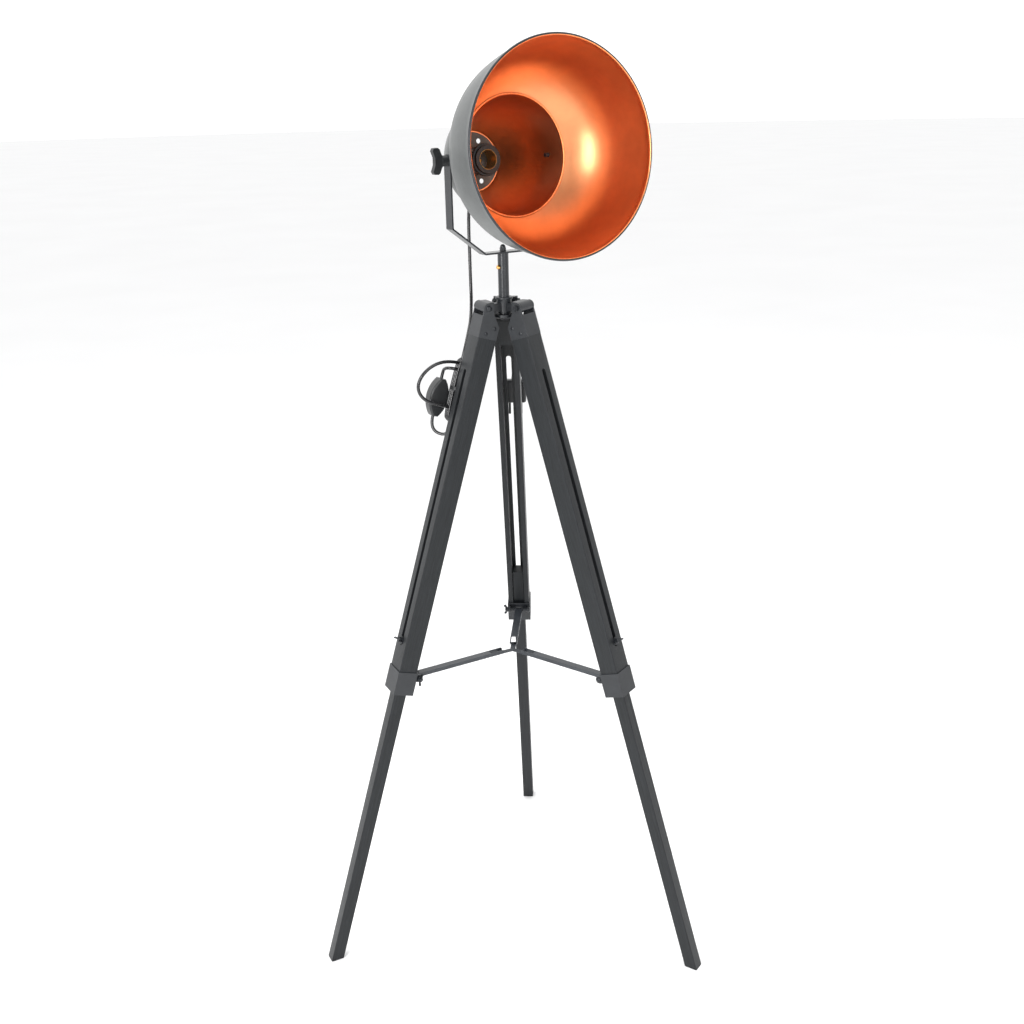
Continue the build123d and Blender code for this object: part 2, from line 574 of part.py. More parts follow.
def shade_bowl():
    """The wide front bowl: a neck round the cup's mouth, a flared wall and a rolled bead."""
    bead = Pos(0, 0, RIM_T) * Torus(RIM_R + SHEET / 2, BEAD_R)
    neck = rod(LIP_R + 2 * SHEET, (0, 0, LIP_T + SHEET / 2), (0, 0, -1), BOWL_NECK)
    neck -= filled(cup_line(), SHEET)
    neck -= rod(LIP_R + SHEET, (0, 0, LIP_T - BOWL_NECK), (0, 0, 1), 2 * BOWL_NECK)
    return SHADE_PLACE * (shell(bowl_line(), SHEET) + neck + bead)


def shade_cup():
    """The rear cup, with a rolled mouth, a flange for the holder's plate and the tilt pivots' holes."""
    cup = shell(cup_line(), SHEET)
    cup += Pos(0, 0, LIP_T + LIP_BEAD_R) * Torus(LIP_R + SHEET / 2 - LIP_BEAD_R / 2, LIP_BEAD_R)
    flange = rod(BACK_R + SHEET / 2, (0, 0, BACK_T), (0, 0, 1), SHEET)
    cup += flange - rod(BACK_R - 4, (0, 0, BACK_T - 1), (0, 0, 1), SHEET + 2)
    cup -= rod(PIVOT_R_SHADE + RUN, (-2 * LIP_R, 0, 0), (1, 0, 0), 4 * LIP_R)
    return SHADE_PLACE * cup


def pivot_bushes():
    """Threaded spacers on the cup's wall that carry the pivot screws."""
    reach = YOKE_HALF - YOKE_THICK - RUN
    bushes = []
    for side in (-1, 1):
        bush = rod(BUSH_R, (0, 0, 0), (side, 0, 0), reach) - filled(cup_line(), SHEET)
        bush -= rod(PIVOT_R_SHADE + RUN, (0, 0, 0), (side, 0, 0), YOKE_HALF)
        bushes.append(SHADE_PLACE * bush)
    return bushes


def holder_plate():
    plate = rod(BACK_R - CLEAR, (0, 0, BACK_T + SHEET), (0, 0, 1), SHEET)
    for i in range(VENT_COUNT):
        turn = Rot(0, 0, 360 * (i + 0.5) / VENT_COUNT)
        plate -= turn * rod(VENT_R, (VENT_RING_R, 0, BACK_T - 1), (0, 0, 1), 4 * SHEET)
    return SHADE_PLACE * plate


def lamp_holder():
    """The outer body: a cup with a bore for the lamp cap, standing on the plate."""
    base = BACK_T + 2 * SHEET
    body = rod(HOLDER_R, (0, 0, base), (0, 0, 1), HOLDER_LENGTH)
    body = fillet(body.edges().sort_by(Axis.Z)[0], 3)
    floor = base + HOLDER_LENGTH - HOLDER_BORE_DEPTH
    body -= rod(HOLDER_MOUTH_R + LINER_WALL, (0, 0, floor), (0, 0, 1), HOLDER_LENGTH)
    x, y, z = CONTACT_SIZE
    pocket = block((-x / 2, x / 2), (-y / 2, y / 2), (floor - CONTACT_RISE * z, floor + 1))
    return SHADE_PLACE * (body - pocket)


def holder_liner():
    mouth = BACK_T + 2 * SHEET + HOLDER_LENGTH
    liner = rod(HOLDER_MOUTH_R + LINER_WALL, (0, 0, mouth - HOLDER_BORE_DEPTH), (0, 0, 1), HOLDER_BORE_DEPTH)
    return SHADE_PLACE * (liner - rod(HOLDER_MOUTH_R, (0, 0, mouth), (0, 0, -1), HOLDER_BORE_DEPTH))


def holder_contact():
    """The centre contact, in its pocket under the floor of the holder's bore."""
    x, y, z = CONTACT_SIZE
    base = BACK_T + 2 * SHEET + HOLDER_LENGTH - HOLDER_BORE_DEPTH - CONTACT_RISE * z
    strip = block((-x / 2, x / 2), (-y / 2, y / 2), (base, base + z))
    return SHADE_PLACE * (strip + rod(y / 2, (0, 0, base), (0, 0, 1), CONTACT_RISE * z))


def holder_ring():
    """The threaded ring that grips the holder's mouth."""
    mouth = BACK_T + 2 * SHEET + HOLDER_LENGTH
    low = mouth - RING_THICK - 4
    ring = rod(RING_R, (0, 0, low), (0, 0, 1), RING_THICK)
    return SHADE_PLACE * (ring - rod(HOLDER_R, (0, 0, low - 1), (0, 0, 1), RING_THICK + 2))


def gland_seat():
    """Where the lead's gland stands on the back of the plate, and the way it points."""
    lean = radians(GLAND_LEAN)
    frame = SHADE_PLACE * Pos(0, GLAND_SEAT_Y, BACK_T + SHEET)
    tip = SHADE_PLACE * Pos(0, GLAND_SEAT_Y - cos(lean), BACK_T + SHEET - sin(lean))
    return frame.position, (tip.position - frame.position).normalized()


def cord_gland():
    """A tapered strain relief with a foot that lies on the plate."""
    seat, along = gland_seat()
    cone = Cone(GLAND_R, CORD_R + 1, GLAND_LENGTH, align=ON_BASE)
    cone = Plane(origin=seat, z_dir=along).location * cone
    ball = Pos(*seat) * Sphere(GLAND_R)
    half_space = SHADE_PLACE * block((-50, 50), (-90, 50), (BACK_T + SHEET, BACK_T + 50))
    return cone + ball - half_space


# ---- supply lead --------------------------------------------------------------------------
def cord(points, radii_name):
    """A round lead along straight runs joined by arcs as large as the runs allow."""
    knots = [Vector(*p) for p in points]
    radii = []
    for a, b, c in zip(knots, knots[1:], knots[2:]):
        turn = radians((b - a).get_angle(c - b))
        radii.append(0.45 * min((b - a).length, (c - b).length) / tan(turn / 2))
    path = FilletPolyline(*knots, radius=radii) if radii else Line(*knots)
    tube = sweep(Plane(origin=path @ 0, z_dir=path % 0) * Circle(CORD_R), path=path)
    section = pi * CORD_R**2
    print(f"{radii_name}: length {path.length:.1f}, volume ratio {tube.volume / (section * path.length):.4f}, "
          f"radii {[round(r, 1) for r in radii]}")
    return tube


def hank_top(x):
    """Where a lead stops above the hank's flat top, and a point straight up from there."""
    z = HANK_Z[1] + HANK_GAP
    return in_leg("left", (x, HANK_Y, z)), in_leg("left", (x, HANK_Y, z + STRAIGHT_END))


def supply_lead():
    """The lead from the shade's gland down to the hank, in the three lengths that move apart."""
    seat, along = gland_seat()
    start = seat + along * GLAND_LENGTH
    after_start = start + along * GLAND_RUN
    end, before_end = hank_top(LEAD_MEETS_X)
    lead = cord([start, after_start, *LEAD_POINTS, before_end, end], "supply lead")
    axis = (YOKE_PLACE * Pos(1, 0, 0)).position
    centre = Vector(0, 0, TILT_Z) - axis * LIP_R
    inside = rod(TILT_SPLIT_R, centre, axis, 2 * LIP_R)
    outside = rod(TILT_SPLIT_R + CLEAR, centre, axis, 2 * LIP_R)
    below = block((-LIP_R * 2, 0), (-LIP_R, LIP_R * 2), (0, SWIVEL_SPLIT_Z))
    return lead & inside, (lead - outside) - below, lead & below


def lead_loops():
    """The loose turn beside the hank, and the lead's way into and out of the foot switch."""
    side = HANK_X[1]
    cx, cy, cz = SWITCH_CENTRE
    half = SWITCH_SIZE[2] / 2
    loop = [(side, HANK_Y, LOOP_POINTS[0][2]), *LOOP_POINTS, (side, HANK_Y, LOOP_POINTS[-1][2])]
    into = [(side, HANK_Y, SWITCH_LEAD_POINTS[0][2]), *SWITCH_LEAD_POINTS, (cx, cy, cz + half)]
    out = [(cx, cy, cz - half), *TAIL_POINTS, (TAIL_POINTS[-1][0], HANK_Y, HANK_Z[0])]
    names = ("loose loop", "switch lead", "switch tail")
    return [leg_place("left") * cord(p, n) for p, n in zip((loop, into, out), names)]


def lead_hank():
    """The folded hank of the spare lead, as the closed shape that its turns fill."""
    y = (HANK_Y - HANK_THICK / 2, HANK_Y + HANK_THICK / 2)
    hank = block(HANK_X, y, HANK_Z)
    hank = fillet(hank.edges(), HANK_ROUND)
    waist = block((HANK_X[0] - 1, HANK_X[1] + 1), (y[0] - 1, y[1] + 1), (TIE_Z, TIE_Z + TIE_HEIGHT))
    core = block(
        (HANK_X[0] + TIE_THICK, HANK_X[1] - TIE_THICK), (y[0] + TIE_THICK, y[1] - TIE_THICK),
        (TIE_Z - 1, TIE_Z + TIE_HEIGHT + 1),
    )
    core = fillet(core.edges().filter_by(Axis.Z), HANK_ROUND - TIE_THICK)
    return leg_place("left") * (hank - (waist - core))


def lead_tie():
    """The tie round the hank's waist."""
    y = (HANK_Y - HANK_THICK / 2, HANK_Y + HANK_THICK / 2)
    z = (TIE_Z, TIE_Z + TIE_HEIGHT)
    band = fillet(block(HANK_X, y, z).edges().filter_by(Axis.Z), HANK_ROUND)
    hole = block((HANK_X[0] + TIE_THICK, HANK_X[1] - TIE_THICK), (y[0] + TIE_THICK, y[1] - TIE_THICK), (z[0] - 1, z[1] + 1))
    hole = fillet(hole.edges().filter_by(Axis.Z), HANK_ROUND - TIE_THICK)
    return leg_place("left") * (band - hole)


def switch_outline(grow):
    """The foot switch's leaf shape, seen from its front."""
    width, _, length = SWITCH_SIZE
    cx, cy, cz = SWITCH_CENTRE
    half = width / 2 + grow
    end = length / 2 + grow
    waist = CORD_R + 2 + grow
    side = ThreePointArc((waist, end), (half, 0), (waist, -end))
    other = ThreePointArc((-waist, -end), (-half, 0), (-waist, end))
    ends = [Line((waist, -end), (-waist, -end)), Line((-waist, end), (waist, end))]
    return make_face([side, ends[0], other, ends[1]])


def switch_seat(depth):
    cx, cy, cz = SWITCH_CENTRE
    return Plane(origin=(cx, cy + depth, cz), x_dir=(-1, 0, 0), z_dir=(0, -1, 0))


def foot_switch():
    """The in-line switch's housing, with a well for its rocker button on the far side."""
    thick = SWITCH_SIZE[1]
    body = extrude(switch_seat(thick / 2) * switch_outline(0), thick)
    body = fillet(body.edges().group_by(Axis.Y)[0] + body.edges().group_by(Axis.Y)[-1], 3)
    well = switch_seat(-thick / 2 + BUTTON_DEPTH) * Rectangle(BUTTON_SIZE[0] + 2 * CLEAR, BUTTON_SIZE[1] + 2 * CLEAR)
    return leg_place("left") * (body - extrude(well, BUTTON_DEPTH + 1))


def foot_switch_button():
    thick = SWITCH_SIZE[1]
    floor = -thick / 2 + BUTTON_DEPTH - BUTTON_PROUD
    button = extrude(switch_seat(floor) * Rectangle(*BUTTON_SIZE), BUTTON_DEPTH)
    button = fillet(button.edges().group_by(Axis.Y)[0], 1)
    return leg_place("left") * button


def plug():
    """The flat two-pin plug behind the rear leg: a moulded body with a tapered neck, and its pins."""
    width, thick, tall = PLUG_SIZE
    x, y = PLUG_CENTRE
    bottom = PLUG_TOP - tall
    body = Pos(x, y, bottom) * Box(width, thick, tall, align=ON_BASE)
    body = fillet(body.edges(), PLUG_ROUND)
    neck = Pos(x, y, PLUG_TOP - 1) * Cone(PLUG_NECK_R + 2, PLUG_NECK_R, PLUG_NECK + 1, align=ON_BASE)
    pieces = [body + neck]
    for side in (-1, 1):
        pin = rod(PIN_R, (x + side * PIN_SPACING / 2, y, bottom), (0, 0, -1), PIN_LENGTH)
        pieces.append(fillet(pin.edges().sort_by(Axis.Z)[0], PIN_R * 0.6))
    return pieces


def lead_to_plug():
    start, after_start = hank_top(PLUG_LEAD_MEETS_X)
    x, y = PLUG_CENTRE
    neck_top = PLUG_TOP + PLUG_NECK
    return cord([start, after_start, *PLUG_LEAD_POINTS, (x, y, neck_top + STRAIGHT_END), (x, y, neck_top)], "lead to the plug")


# ---- the lamp -----------------------------------------------------------------------------
def main():
    os.makedirs("parts", exist_ok=True)
    save("hub_body", hub_body())
    save("hub_clamp_disc", hub_clamp_disc())
    save("column_collar", column_collar())
    save("column_tube", column_tube())
    save("column_set_screw", column_set_screw())
    save("pivot_bolts", *pivot_bolts())
    for name in LEG_AZIMUTH:
        place = leg_place(name)
        save(f"leg_bracket_{name}", place * leg_bracket())
        save(f"bracket_screws_{name}", *[place * screw for screw in bracket_screws()])
        save(f"upper_leg_{name}", place * upper_leg())
        save(f"leg_collar_{name}", place * leg_collar())
        save(f"spreader_bolt_{name}", *[place * piece for piece in spreader_bolt()])
        save(f"spreader_wing_nut_{name}", place * spreader_wing_nut())
        save(f"leg_wing_bolt_{name}", place * leg_wing_bolt())
        save(f"lower_leg_{name}", lower_leg(name))
        turn = Rot(0, 0, LEG_AZIMUTH[name])
        save(f"spreader_arm_{name}", *[turn * piece for piece in spreader_arm()])
    save("spreader_hub", spreader_hub())
    save("yoke", yoke())
    save("yoke_spigot", yoke_spigot())
    save("yoke_cap_nut", yoke_cap_nut())
    save("tilt_knob_left", tilt_knob(-1))
    save("tilt_knob_right", tilt_knob(1))
    save("shade_bowl", shade_bowl())
    save("shade_cup", shade_cup())
    save("pivot_bushes", *pivot_bushes())
    save("holder_plate", holder_plate())
    save("lamp_holder", lamp_holder())
    save("holder_liner", holder_liner())
    save("holder_contact", holder_contact())
    save("holder_ring", holder_ring())
    save("cord_gland", cord_gland())
    for name, piece in zip(("lead_top", "lead_middle", "lead_lower"), supply_lead()):
        save(name, piece)
    save("lead_loops", *lead_loops())
    save("lead_hank", lead_hank())
    save("lead_tie", lead_tie())
    save("lead_to_plug", lead_to_plug())
    save("foot_switch", foot_switch())
    save("foot_switch_button", foot_switch_button())
    save("plug", *plug())


main()
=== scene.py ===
import json
from math import cos, pi, radians, sin

import bmesh
import bpy
from mathutils import Matrix, Vector


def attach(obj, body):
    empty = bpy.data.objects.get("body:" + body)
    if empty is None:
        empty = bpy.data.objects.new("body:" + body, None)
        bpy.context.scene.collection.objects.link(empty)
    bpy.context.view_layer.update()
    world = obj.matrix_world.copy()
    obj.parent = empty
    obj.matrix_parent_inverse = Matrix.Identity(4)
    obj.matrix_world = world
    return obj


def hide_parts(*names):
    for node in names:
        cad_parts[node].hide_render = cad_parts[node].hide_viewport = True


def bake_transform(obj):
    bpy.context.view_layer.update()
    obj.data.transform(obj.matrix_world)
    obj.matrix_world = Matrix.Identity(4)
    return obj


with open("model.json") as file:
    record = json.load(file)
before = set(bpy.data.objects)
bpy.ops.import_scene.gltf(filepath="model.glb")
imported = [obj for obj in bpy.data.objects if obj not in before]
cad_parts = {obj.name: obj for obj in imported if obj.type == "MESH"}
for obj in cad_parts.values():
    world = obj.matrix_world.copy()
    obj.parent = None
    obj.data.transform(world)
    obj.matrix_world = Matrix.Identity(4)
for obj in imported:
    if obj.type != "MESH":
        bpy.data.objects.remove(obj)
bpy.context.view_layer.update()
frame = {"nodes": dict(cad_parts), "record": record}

bl_info = {
    "name": "Tripod floor lamp",
    "version": (1, 0, 0),
    "blender": (4, 5, 0),
    "location": "3D View > Sidebar > Floor lamp",
    "description": "Finishes and fine shapes of a tripod floor lamp with a tilting bell shade",
    "category": "Object",
}

MM = 0.001
RECORD = frame["record"]
SLOT_OF = {row["node"]: row["material_slot"] for row in RECORD["subparts"]}
BODY_OF = {node: body for body, nodes in RECORD["behaviour"]["bodies"].items() for node in nodes}

# Where the legs and the shade stand in the part's frame
LEG_NAMES = ("rear", "left", "right")
LEG_AZIMUTH = {"rear": 90.0, "left": 210.0, "right": 330.0}
LEG_SPLAY = 16.7
LEG_PIVOT = Vector((33.0, 0.0, 1036.0)) * MM
SHADE_YAW = 35.5
SHADE_TILT = 6.0
TILT_AXIS = Vector((0.0, 0.0, 1245.6)) * MM


def leg_frame(name):
    """X outwards across the leg, Y along its width, Z up along the leg, from the pivot."""
    turn = Matrix.Rotation(radians(LEG_AZIMUTH[name]), 4, "Z")
    return turn @ Matrix.Translation(LEG_PIVOT) @ Matrix.Rotation(radians(-LEG_SPLAY), 4, "Y")


def shade_frame():
    """X along the tilt axis, Y up across the shade, Z forward along the shade."""
    turn = Matrix.Rotation(radians(SHADE_YAW), 4, "Z")
    tilt = Matrix.Rotation(radians(-SHADE_TILT), 4, "X")
    lay = Matrix(((1, 0, 0, 0), (0, 0, -1, 0), (0, 1, 0, 0), (0, 0, 0, 1)))
    return turn @ Matrix.Translation(TILT_AXIS) @ tilt @ lay


# ---------------------------------------------------------------- settings

class LampSizes(bpy.types.PropertyGroup):
    """Sizes of the fine shapes."""
    round_steps: bpy.props.IntProperty(
        name="Steps round", description="Faces round the bowl and the cup", default=128, min=32, max=256)
    wall: bpy.props.FloatProperty(
        name="Shade wall", description="Thickness of the spun sheet", default=0.0012, unit="LENGTH")
    bead: bpy.props.FloatProperty(
        name="Rim bead", description="Radius of the rolled rim of the bowl", default=0.0019, unit="LENGTH")
    lip: bpy.props.FloatProperty(
        name="Cup lip", description="Radius of the rolled lip of the cup", default=0.0014, unit="LENGTH")
    wood_edge: bpy.props.FloatProperty(
        name="Wood edge", description="Rounding of the legs' sawn edges", default=0.0009, unit="LENGTH")
    metal_edge: bpy.props.FloatProperty(
        name="Metal edge", description="Rounding of the cast and pressed edges", default=0.0005,
        unit="LENGTH")
    knob_edge: bpy.props.FloatProperty(
        name="Knob edge", description="Rounding of the moulded knobs", default=0.0017, unit="LENGTH")
    lead: bpy.props.FloatProperty(
        name="Lead", description="Diameter of the mains lead", default=0.005, unit="LENGTH")


class LampColours(bpy.types.PropertyGroup):
    """Base colours of the finishes."""
    wood: bpy.props.FloatVectorProperty(
        name="Painted wood", description="Black paint on the legs", subtype="COLOR",
        default=(0.009, 0.0105, 0.012))
    metal: bpy.props.FloatVectorProperty(
        name="Painted metal", description="Black paint on the fittings", subtype="COLOR",
        default=(0.014, 0.016, 0.019))
    shade: bpy.props.FloatVectorProperty(
        name="Shade outside", description="Dark grey paint of the shade", subtype="COLOR",
        default=(0.058, 0.064, 0.063))
    copper: bpy.props.FloatVectorProperty(
        name="Shade inside", description="Satin copper lacquer", subtype="COLOR", default=(0.80, 0.31, 0.125))
    plastic: bpy.props.FloatVectorProperty(
        name="Plastic", description="Black moulded plastic", subtype="COLOR", default=(0.016, 0.017, 0.018))
    sheath: bpy.props.FloatVectorProperty(
        name="Lead sheath", description="Black sheath of the lead", subtype="COLOR",
        default=(0.006, 0.006, 0.007))
    brass: bpy.props.FloatVectorProperty(
        name="Brass", description="Brass of the set screw and the socket", subtype="COLOR",
        default=(0.72, 0.40, 0.13))


class StageSettings(bpy.types.PropertyGroup):
    """The floor, the light and the camera."""
    floor: bpy.props.FloatVectorProperty(
        name="Floor", description="Colour of the plain floor", subtype="COLOR", default=(0.95, 0.95, 0.95))
    surround: bpy.props.FloatProperty(
        name="Surround", description="Strength of the pale surround", default=1.3)
    key: bpy.props.FloatProperty(
        name="Key light", description="Power of the large light at the left", default=55.0, unit="POWER")
    top: bpy.props.FloatProperty(
        name="Top light", description="Power of the soft light above", default=30.0, unit="POWER")
    fill: bpy.props.FloatProperty(
        name="Fill light", description="Power of the soft light in front of the shade", default=38.0,
        unit="POWER")
    lens: bpy.props.FloatProperty(
        name="Lens", description="Focal length in millimetres", default=43.83)


# ---------------------------------------------------------------- materials

class Finish:
    """A procedural material whose patterns read Object coordinates."""

    def __init__(self, name, colour, roughness, metallic=0.0, **plain):
        self.material = bpy.data.materials.new(name)
        self.material.use_nodes = True
        self.nodes = self.material.node_tree.nodes
        self.links = self.material.node_tree.links
        self.shader = next(n for n in self.nodes if n.type == "BSDF_PRINCIPLED")
        self.colour = Vector(colour)
        self.shader.inputs["Base Color"].default_value = (*colour, 1.0)
        self.shader.inputs["Roughness"].default_value = roughness
        self.shader.inputs["Metallic"].default_value = metallic
        for socket, value in plain.items():
            self.shader.inputs[socket.replace("_", " ")].default_value = value
        self.normal = None

    def space(self, centre=(0, 0, 0), turn=(0, 0, 0), cell=(1, 1, 1)):
        coordinates = self.nodes.new("ShaderNodeTexCoord")
        mapping = self.nodes.new("ShaderNodeMapping")
        mapping.vector_type = "TEXTURE"
        mapping.inputs["Location"].default_value = centre
        mapping.inputs["Rotation"].default_value = turn
        mapping.inputs["Scale"].default_value = cell
        self.links.new(coordinates.outputs["Object"], mapping.inputs["Vector"])
        return mapping.outputs["Vector"]

    def noise(self, vector, detail=3.0, roughness=0.55, distortion=0.0):
        node = self.nodes.new("ShaderNodeTexNoise")
        node.inputs["Scale"].default_value = 1.0
        node.inputs["Detail"].default_value = detail
        node.inputs["Roughness"].default_value = roughness
        node.inputs["Distortion"].default_value = distortion
        self.links.new(vector, node.inputs["Vector"])
        return node.outputs["Fac"]

    def grain(self, vector, distortion=2.0):
        node = self.nodes.new("ShaderNodeTexWave")
        node.wave_type = "BANDS"
        node.bands_direction = "X"
        node.inputs["Scale"].default_value = 1.0
        node.inputs["Distortion"].default_value = distortion
        node.inputs["Detail"].default_value = 3.0
        self.links.new(vector, node.inputs["Vector"])
        return node.outputs["Fac"]

    def tint(self, factor, low, high, near=0.3, far=0.7):
        """The colour runs from low to high times the base colour."""
        node = self.nodes.new("ShaderNodeValToRGB")
        node.color_ramp.elements[0].position = near
        node.color_ramp.elements[1].position = far
        node.color_ramp.elements[0].color = (*(self.colour * low), 1.0)
        node.color_ramp.elements[1].color = (*(self.colour * high), 1.0)
        self.links.new(factor, node.inputs["Fac"])
        self.links.new(node.outputs["Color"], self.shader.inputs["Base Color"])

    def gloss(self, factor, low, high, near=0.3, far=0.7):
        node = self.nodes.new("ShaderNodeMapRange")
        node.inputs["From Min"].default_value = near
        node.inputs["From Max"].default_value = far
        node.inputs["To Min"].default_value = low
        node.inputs["To Max"].default_value = high
        self.links.new(factor, node.inputs["Value"])
        self.links.new(node.outputs["Result"], self.shader.inputs["Roughness"])

    def relief(self, height, strength, depth):
        node = self.nodes.new("ShaderNodeBump")
        node.inputs["Strength"].default_value = strength
        node.inputs["Distance"].default_value = depth
        self.links.new(height, node.inputs["Height"])
        if self.normal is not None:
            self.links.new(self.normal, node.inputs["Normal"])
        self.normal = node.outputs["Normal"]
        self.links.new(self.normal, self.shader.inputs["Normal"])


def cell(size):
    """A pattern's cell, as wide as it is deep and high, from its size in millimetres."""
    return (size * MM, size * MM, size * MM)


def painted_wood(name, colour):
    """Satin black paint with the grain of the wood showing through it, along one leg."""
    place = leg_frame(name)
    finish = Finish("painted_wood_" + name, colour, 0.38, Specular_IOR_Level=0.3, Sheen_Weight=0.1,
                    Sheen_Roughness=0.4)
    centre = place.to_translation()
    turn = place.to_euler("XYZ")
    streaks = finish.noise(finish.space(centre, turn, (0.9 * MM, 0.9 * MM, 42 * MM)), 5.0, 0.62, 0.4)
    pores = finish.noise(finish.space(centre, turn, (0.35 * MM, 0.35 * MM, 7 * MM)), 2.0, 0.5)
    rings = finish.grain(finish.space(centre, turn, (9 * MM, 9 * MM, 210 * MM)), 3.5)
    finish.tint(streaks, 0.62, 1.75, 0.34, 0.68)
    finish.gloss(pores, 0.32, 0.5)
    finish.relief(rings, 0.12, 0.25 * MM)
    finish.relief(streaks, 0.32, 0.22 * MM)
    finish.relief(pores, 0.22, 0.1 * MM)
    return finish.material


def painted_metal(name, colour, roughness, texture=0.5, depth=0.06, metallic=0.0, coat=0.0):
    """Baked paint: a fine orange peel, a little mottling and uneven gloss."""
    finish = Finish(name, colour, roughness, metallic, Coat_Weight=coat, Coat_Roughness=0.18)
    mottle = finish.noise(finish.space(cell=cell(22.0)), 4.0, 0.6)
    peel = finish.noise(finish.space(cell=cell(texture)), 2.0, 0.5)
    finish.tint(mottle, 0.82, 1.22)
    finish.gloss(peel, roughness * 0.88, roughness * 1.18)
    finish.relief(peel, 0.28, depth * MM)
    return finish.material


def copper_lacquer(colour, roughness):
    """Satin copper lacquer: fine metal flakes over a spun sheet."""
    finish = Finish("copper_lacquer", colour, roughness, 1.0, Coat_Weight=0.6, Coat_Roughness=0.3)
    flakes = finish.noise(finish.space(cell=cell(0.42)), 2.0, 0.7)
    clouds = finish.noise(finish.space(cell=cell(34.0)), 4.0, 0.6)
    finish.tint(clouds, 0.93, 1.08)
    finish.gloss(flakes, roughness * 0.86, roughness * 1.16)
    finish.relief(flakes, 0.32, 0.035 * MM)
    return finish.material


def turned_metal(name, colour, roughness, ring=0.35):
    """Bare metal with fine tool marks and a little tarnish."""
    finish = Finish(name, colour, roughness, 1.0)
    marks = finish.noise(finish.space(cell=(ring * MM, ring * MM, 6 * MM)), 3.0, 0.6)
    stains = finish.noise(finish.space(cell=cell(3.0)), 4.0, 0.6)
    finish.tint(stains, 0.8, 1.12)
    finish.gloss(marks, roughness * 0.75, roughness * 1.3)
    finish.relief(marks, 0.2, 0.03 * MM)
    return finish.material


def moulded_plastic(name, colour, roughness, spark=0.3):
    """Black plastic with the fine spark finish of its mould."""
    finish = Finish(name, colour, roughness)
    erosion = finish.noise(finish.space(cell=cell(spark)), 2.0, 0.55)
    handling = finish.noise(finish.space(cell=cell(14.0)), 4.0, 0.6)
    finish.tint(handling, 0.85, 1.25)
    finish.gloss(erosion, roughness * 0.85, roughness * 1.2)
    finish.relief(erosion, 0.35, 0.04 * MM)
    return finish.material


def lead_sheath(colour):
    """Glossy plasticised sheath, slightly wavy over its cores."""
    finish = Finish("lead_sheath", colour, 0.24, Coat_Weight=0.25, Coat_Roughness=0.12)
    wave = finish.noise(finish.space(cell=cell(6.0)), 2.0, 0.5)
    dust = finish.noise(finish.space(cell=cell(0.7)), 3.0, 0.6)
    finish.tint(dust, 0.8, 1.5)
    finish.gloss(wave, 0.2, 0.32)
    finish.relief(wave, 0.2, 0.12 * MM)
    return finish.material


MATERIALS = {}


def make_materials(colours):
    wood, metal, plastic = colours.wood, colours.metal, colours.plastic
    for name in LEG_NAMES:
        MATERIALS["black_wood_" + name] = painted_wood(name, wood)
    MATERIALS["black_casting"] = painted_metal("black_casting", metal, 0.36, 0.7, 0.08)
    MATERIALS["black_column"] = painted_metal("black_column", metal, 0.27, 0.5, 0.04, coat=0.2)
    MATERIALS["yoke_black"] = painted_metal("yoke_black", metal, 0.28, 0.5, 0.04, coat=0.2)
    MATERIALS["black_fasteners"] = painted_metal("black_fasteners", metal, 0.3, 0.3, 0.03, metallic=0.3)
    MATERIALS["black_brackets"] = painted_metal("black_brackets", metal, 0.36, 0.6, 0.06)
    # The spreader's black paint is raised to 1.9 times the fittings' colour, a painted highlight that greys
    # the arms.
    MATERIALS["spreader_steel"] = painted_metal("spreader_steel", Vector(metal) * 1.9, 0.34, 0.5, 0.05)
    MATERIALS["shade_grey"] = painted_metal("shade_grey", colours.shade, 0.36, 0.45, 0.05, 0.35, 0.15)
    MATERIALS["rim_black"] = painted_metal("rim_black", metal, 0.3, 0.4, 0.03)
    MATERIALS["copper"] = copper_lacquer(colours.copper, 0.37)
    # The rolled edges' copper is the lacquer's colour raised 1.2 times: bare turned copper with a painted
    # highlight along the rolls.
    MATERIALS["copper_edge"] = turned_metal("copper_edge", Vector(colours.copper) * 1.2, 0.32)
    MATERIALS["brass"] = turned_metal("brass", colours.brass, 0.24)
    MATERIALS["holder_metal"] = turned_metal("holder_metal", colours.brass, 0.3)
    MATERIALS["knob_plastic"] = moulded_plastic("knob_plastic", Vector(plastic) * 1.3, 0.42)
    MATERIALS["holder_plastic"] = moulded_plastic("holder_plastic", Vector(plastic) * 0.6, 0.4)
    MATERIALS["switch_plastic"] = moulded_plastic("switch_plastic", plastic, 0.3)
    MATERIALS["tie_plastic"] = moulded_plastic("tie_plastic", plastic, 0.45)
    MATERIALS["lead_sheath"] = lead_sheath(colours.sheath)


def finish_of(node):
    slot = SLOT_OF[node]
    if slot == "black_wood":
        slot += "_" + node.rsplit("_", 1)[1]
    return MATERIALS[slot]


# ---------------------------------------------------------------- pieces

def placed(name, bm, materials, body, stands_for=(), sharp=38.0):
    """The finished mesh as a piece that rides on its body."""
    mesh = bpy.data.meshes.new(name)
    bm.to_mesh(mesh)
    bm.free()
    for material in materials:
        mesh.materials.append(material)
    mesh.shade_smooth()
    mesh.set_sharp_from_angle(angle=radians(sharp))
    piece = bpy.data.objects.new(name, mesh)
    bpy.context.scene.collection.objects.link(piece)
    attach(piece, body)
    if stands_for:
        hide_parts(*stands_for)
    return piece


def dress(*nodes):
    """The CAD pieces keep their shape and take their finish."""
    for node in nodes:
        piece = frame["nodes"][node]
        if not piece.material_slots:
            piece.data.materials.append(None)
        for slot in piece.material_slots:
            slot.link = "OBJECT"
            slot.material = finish_of(node)


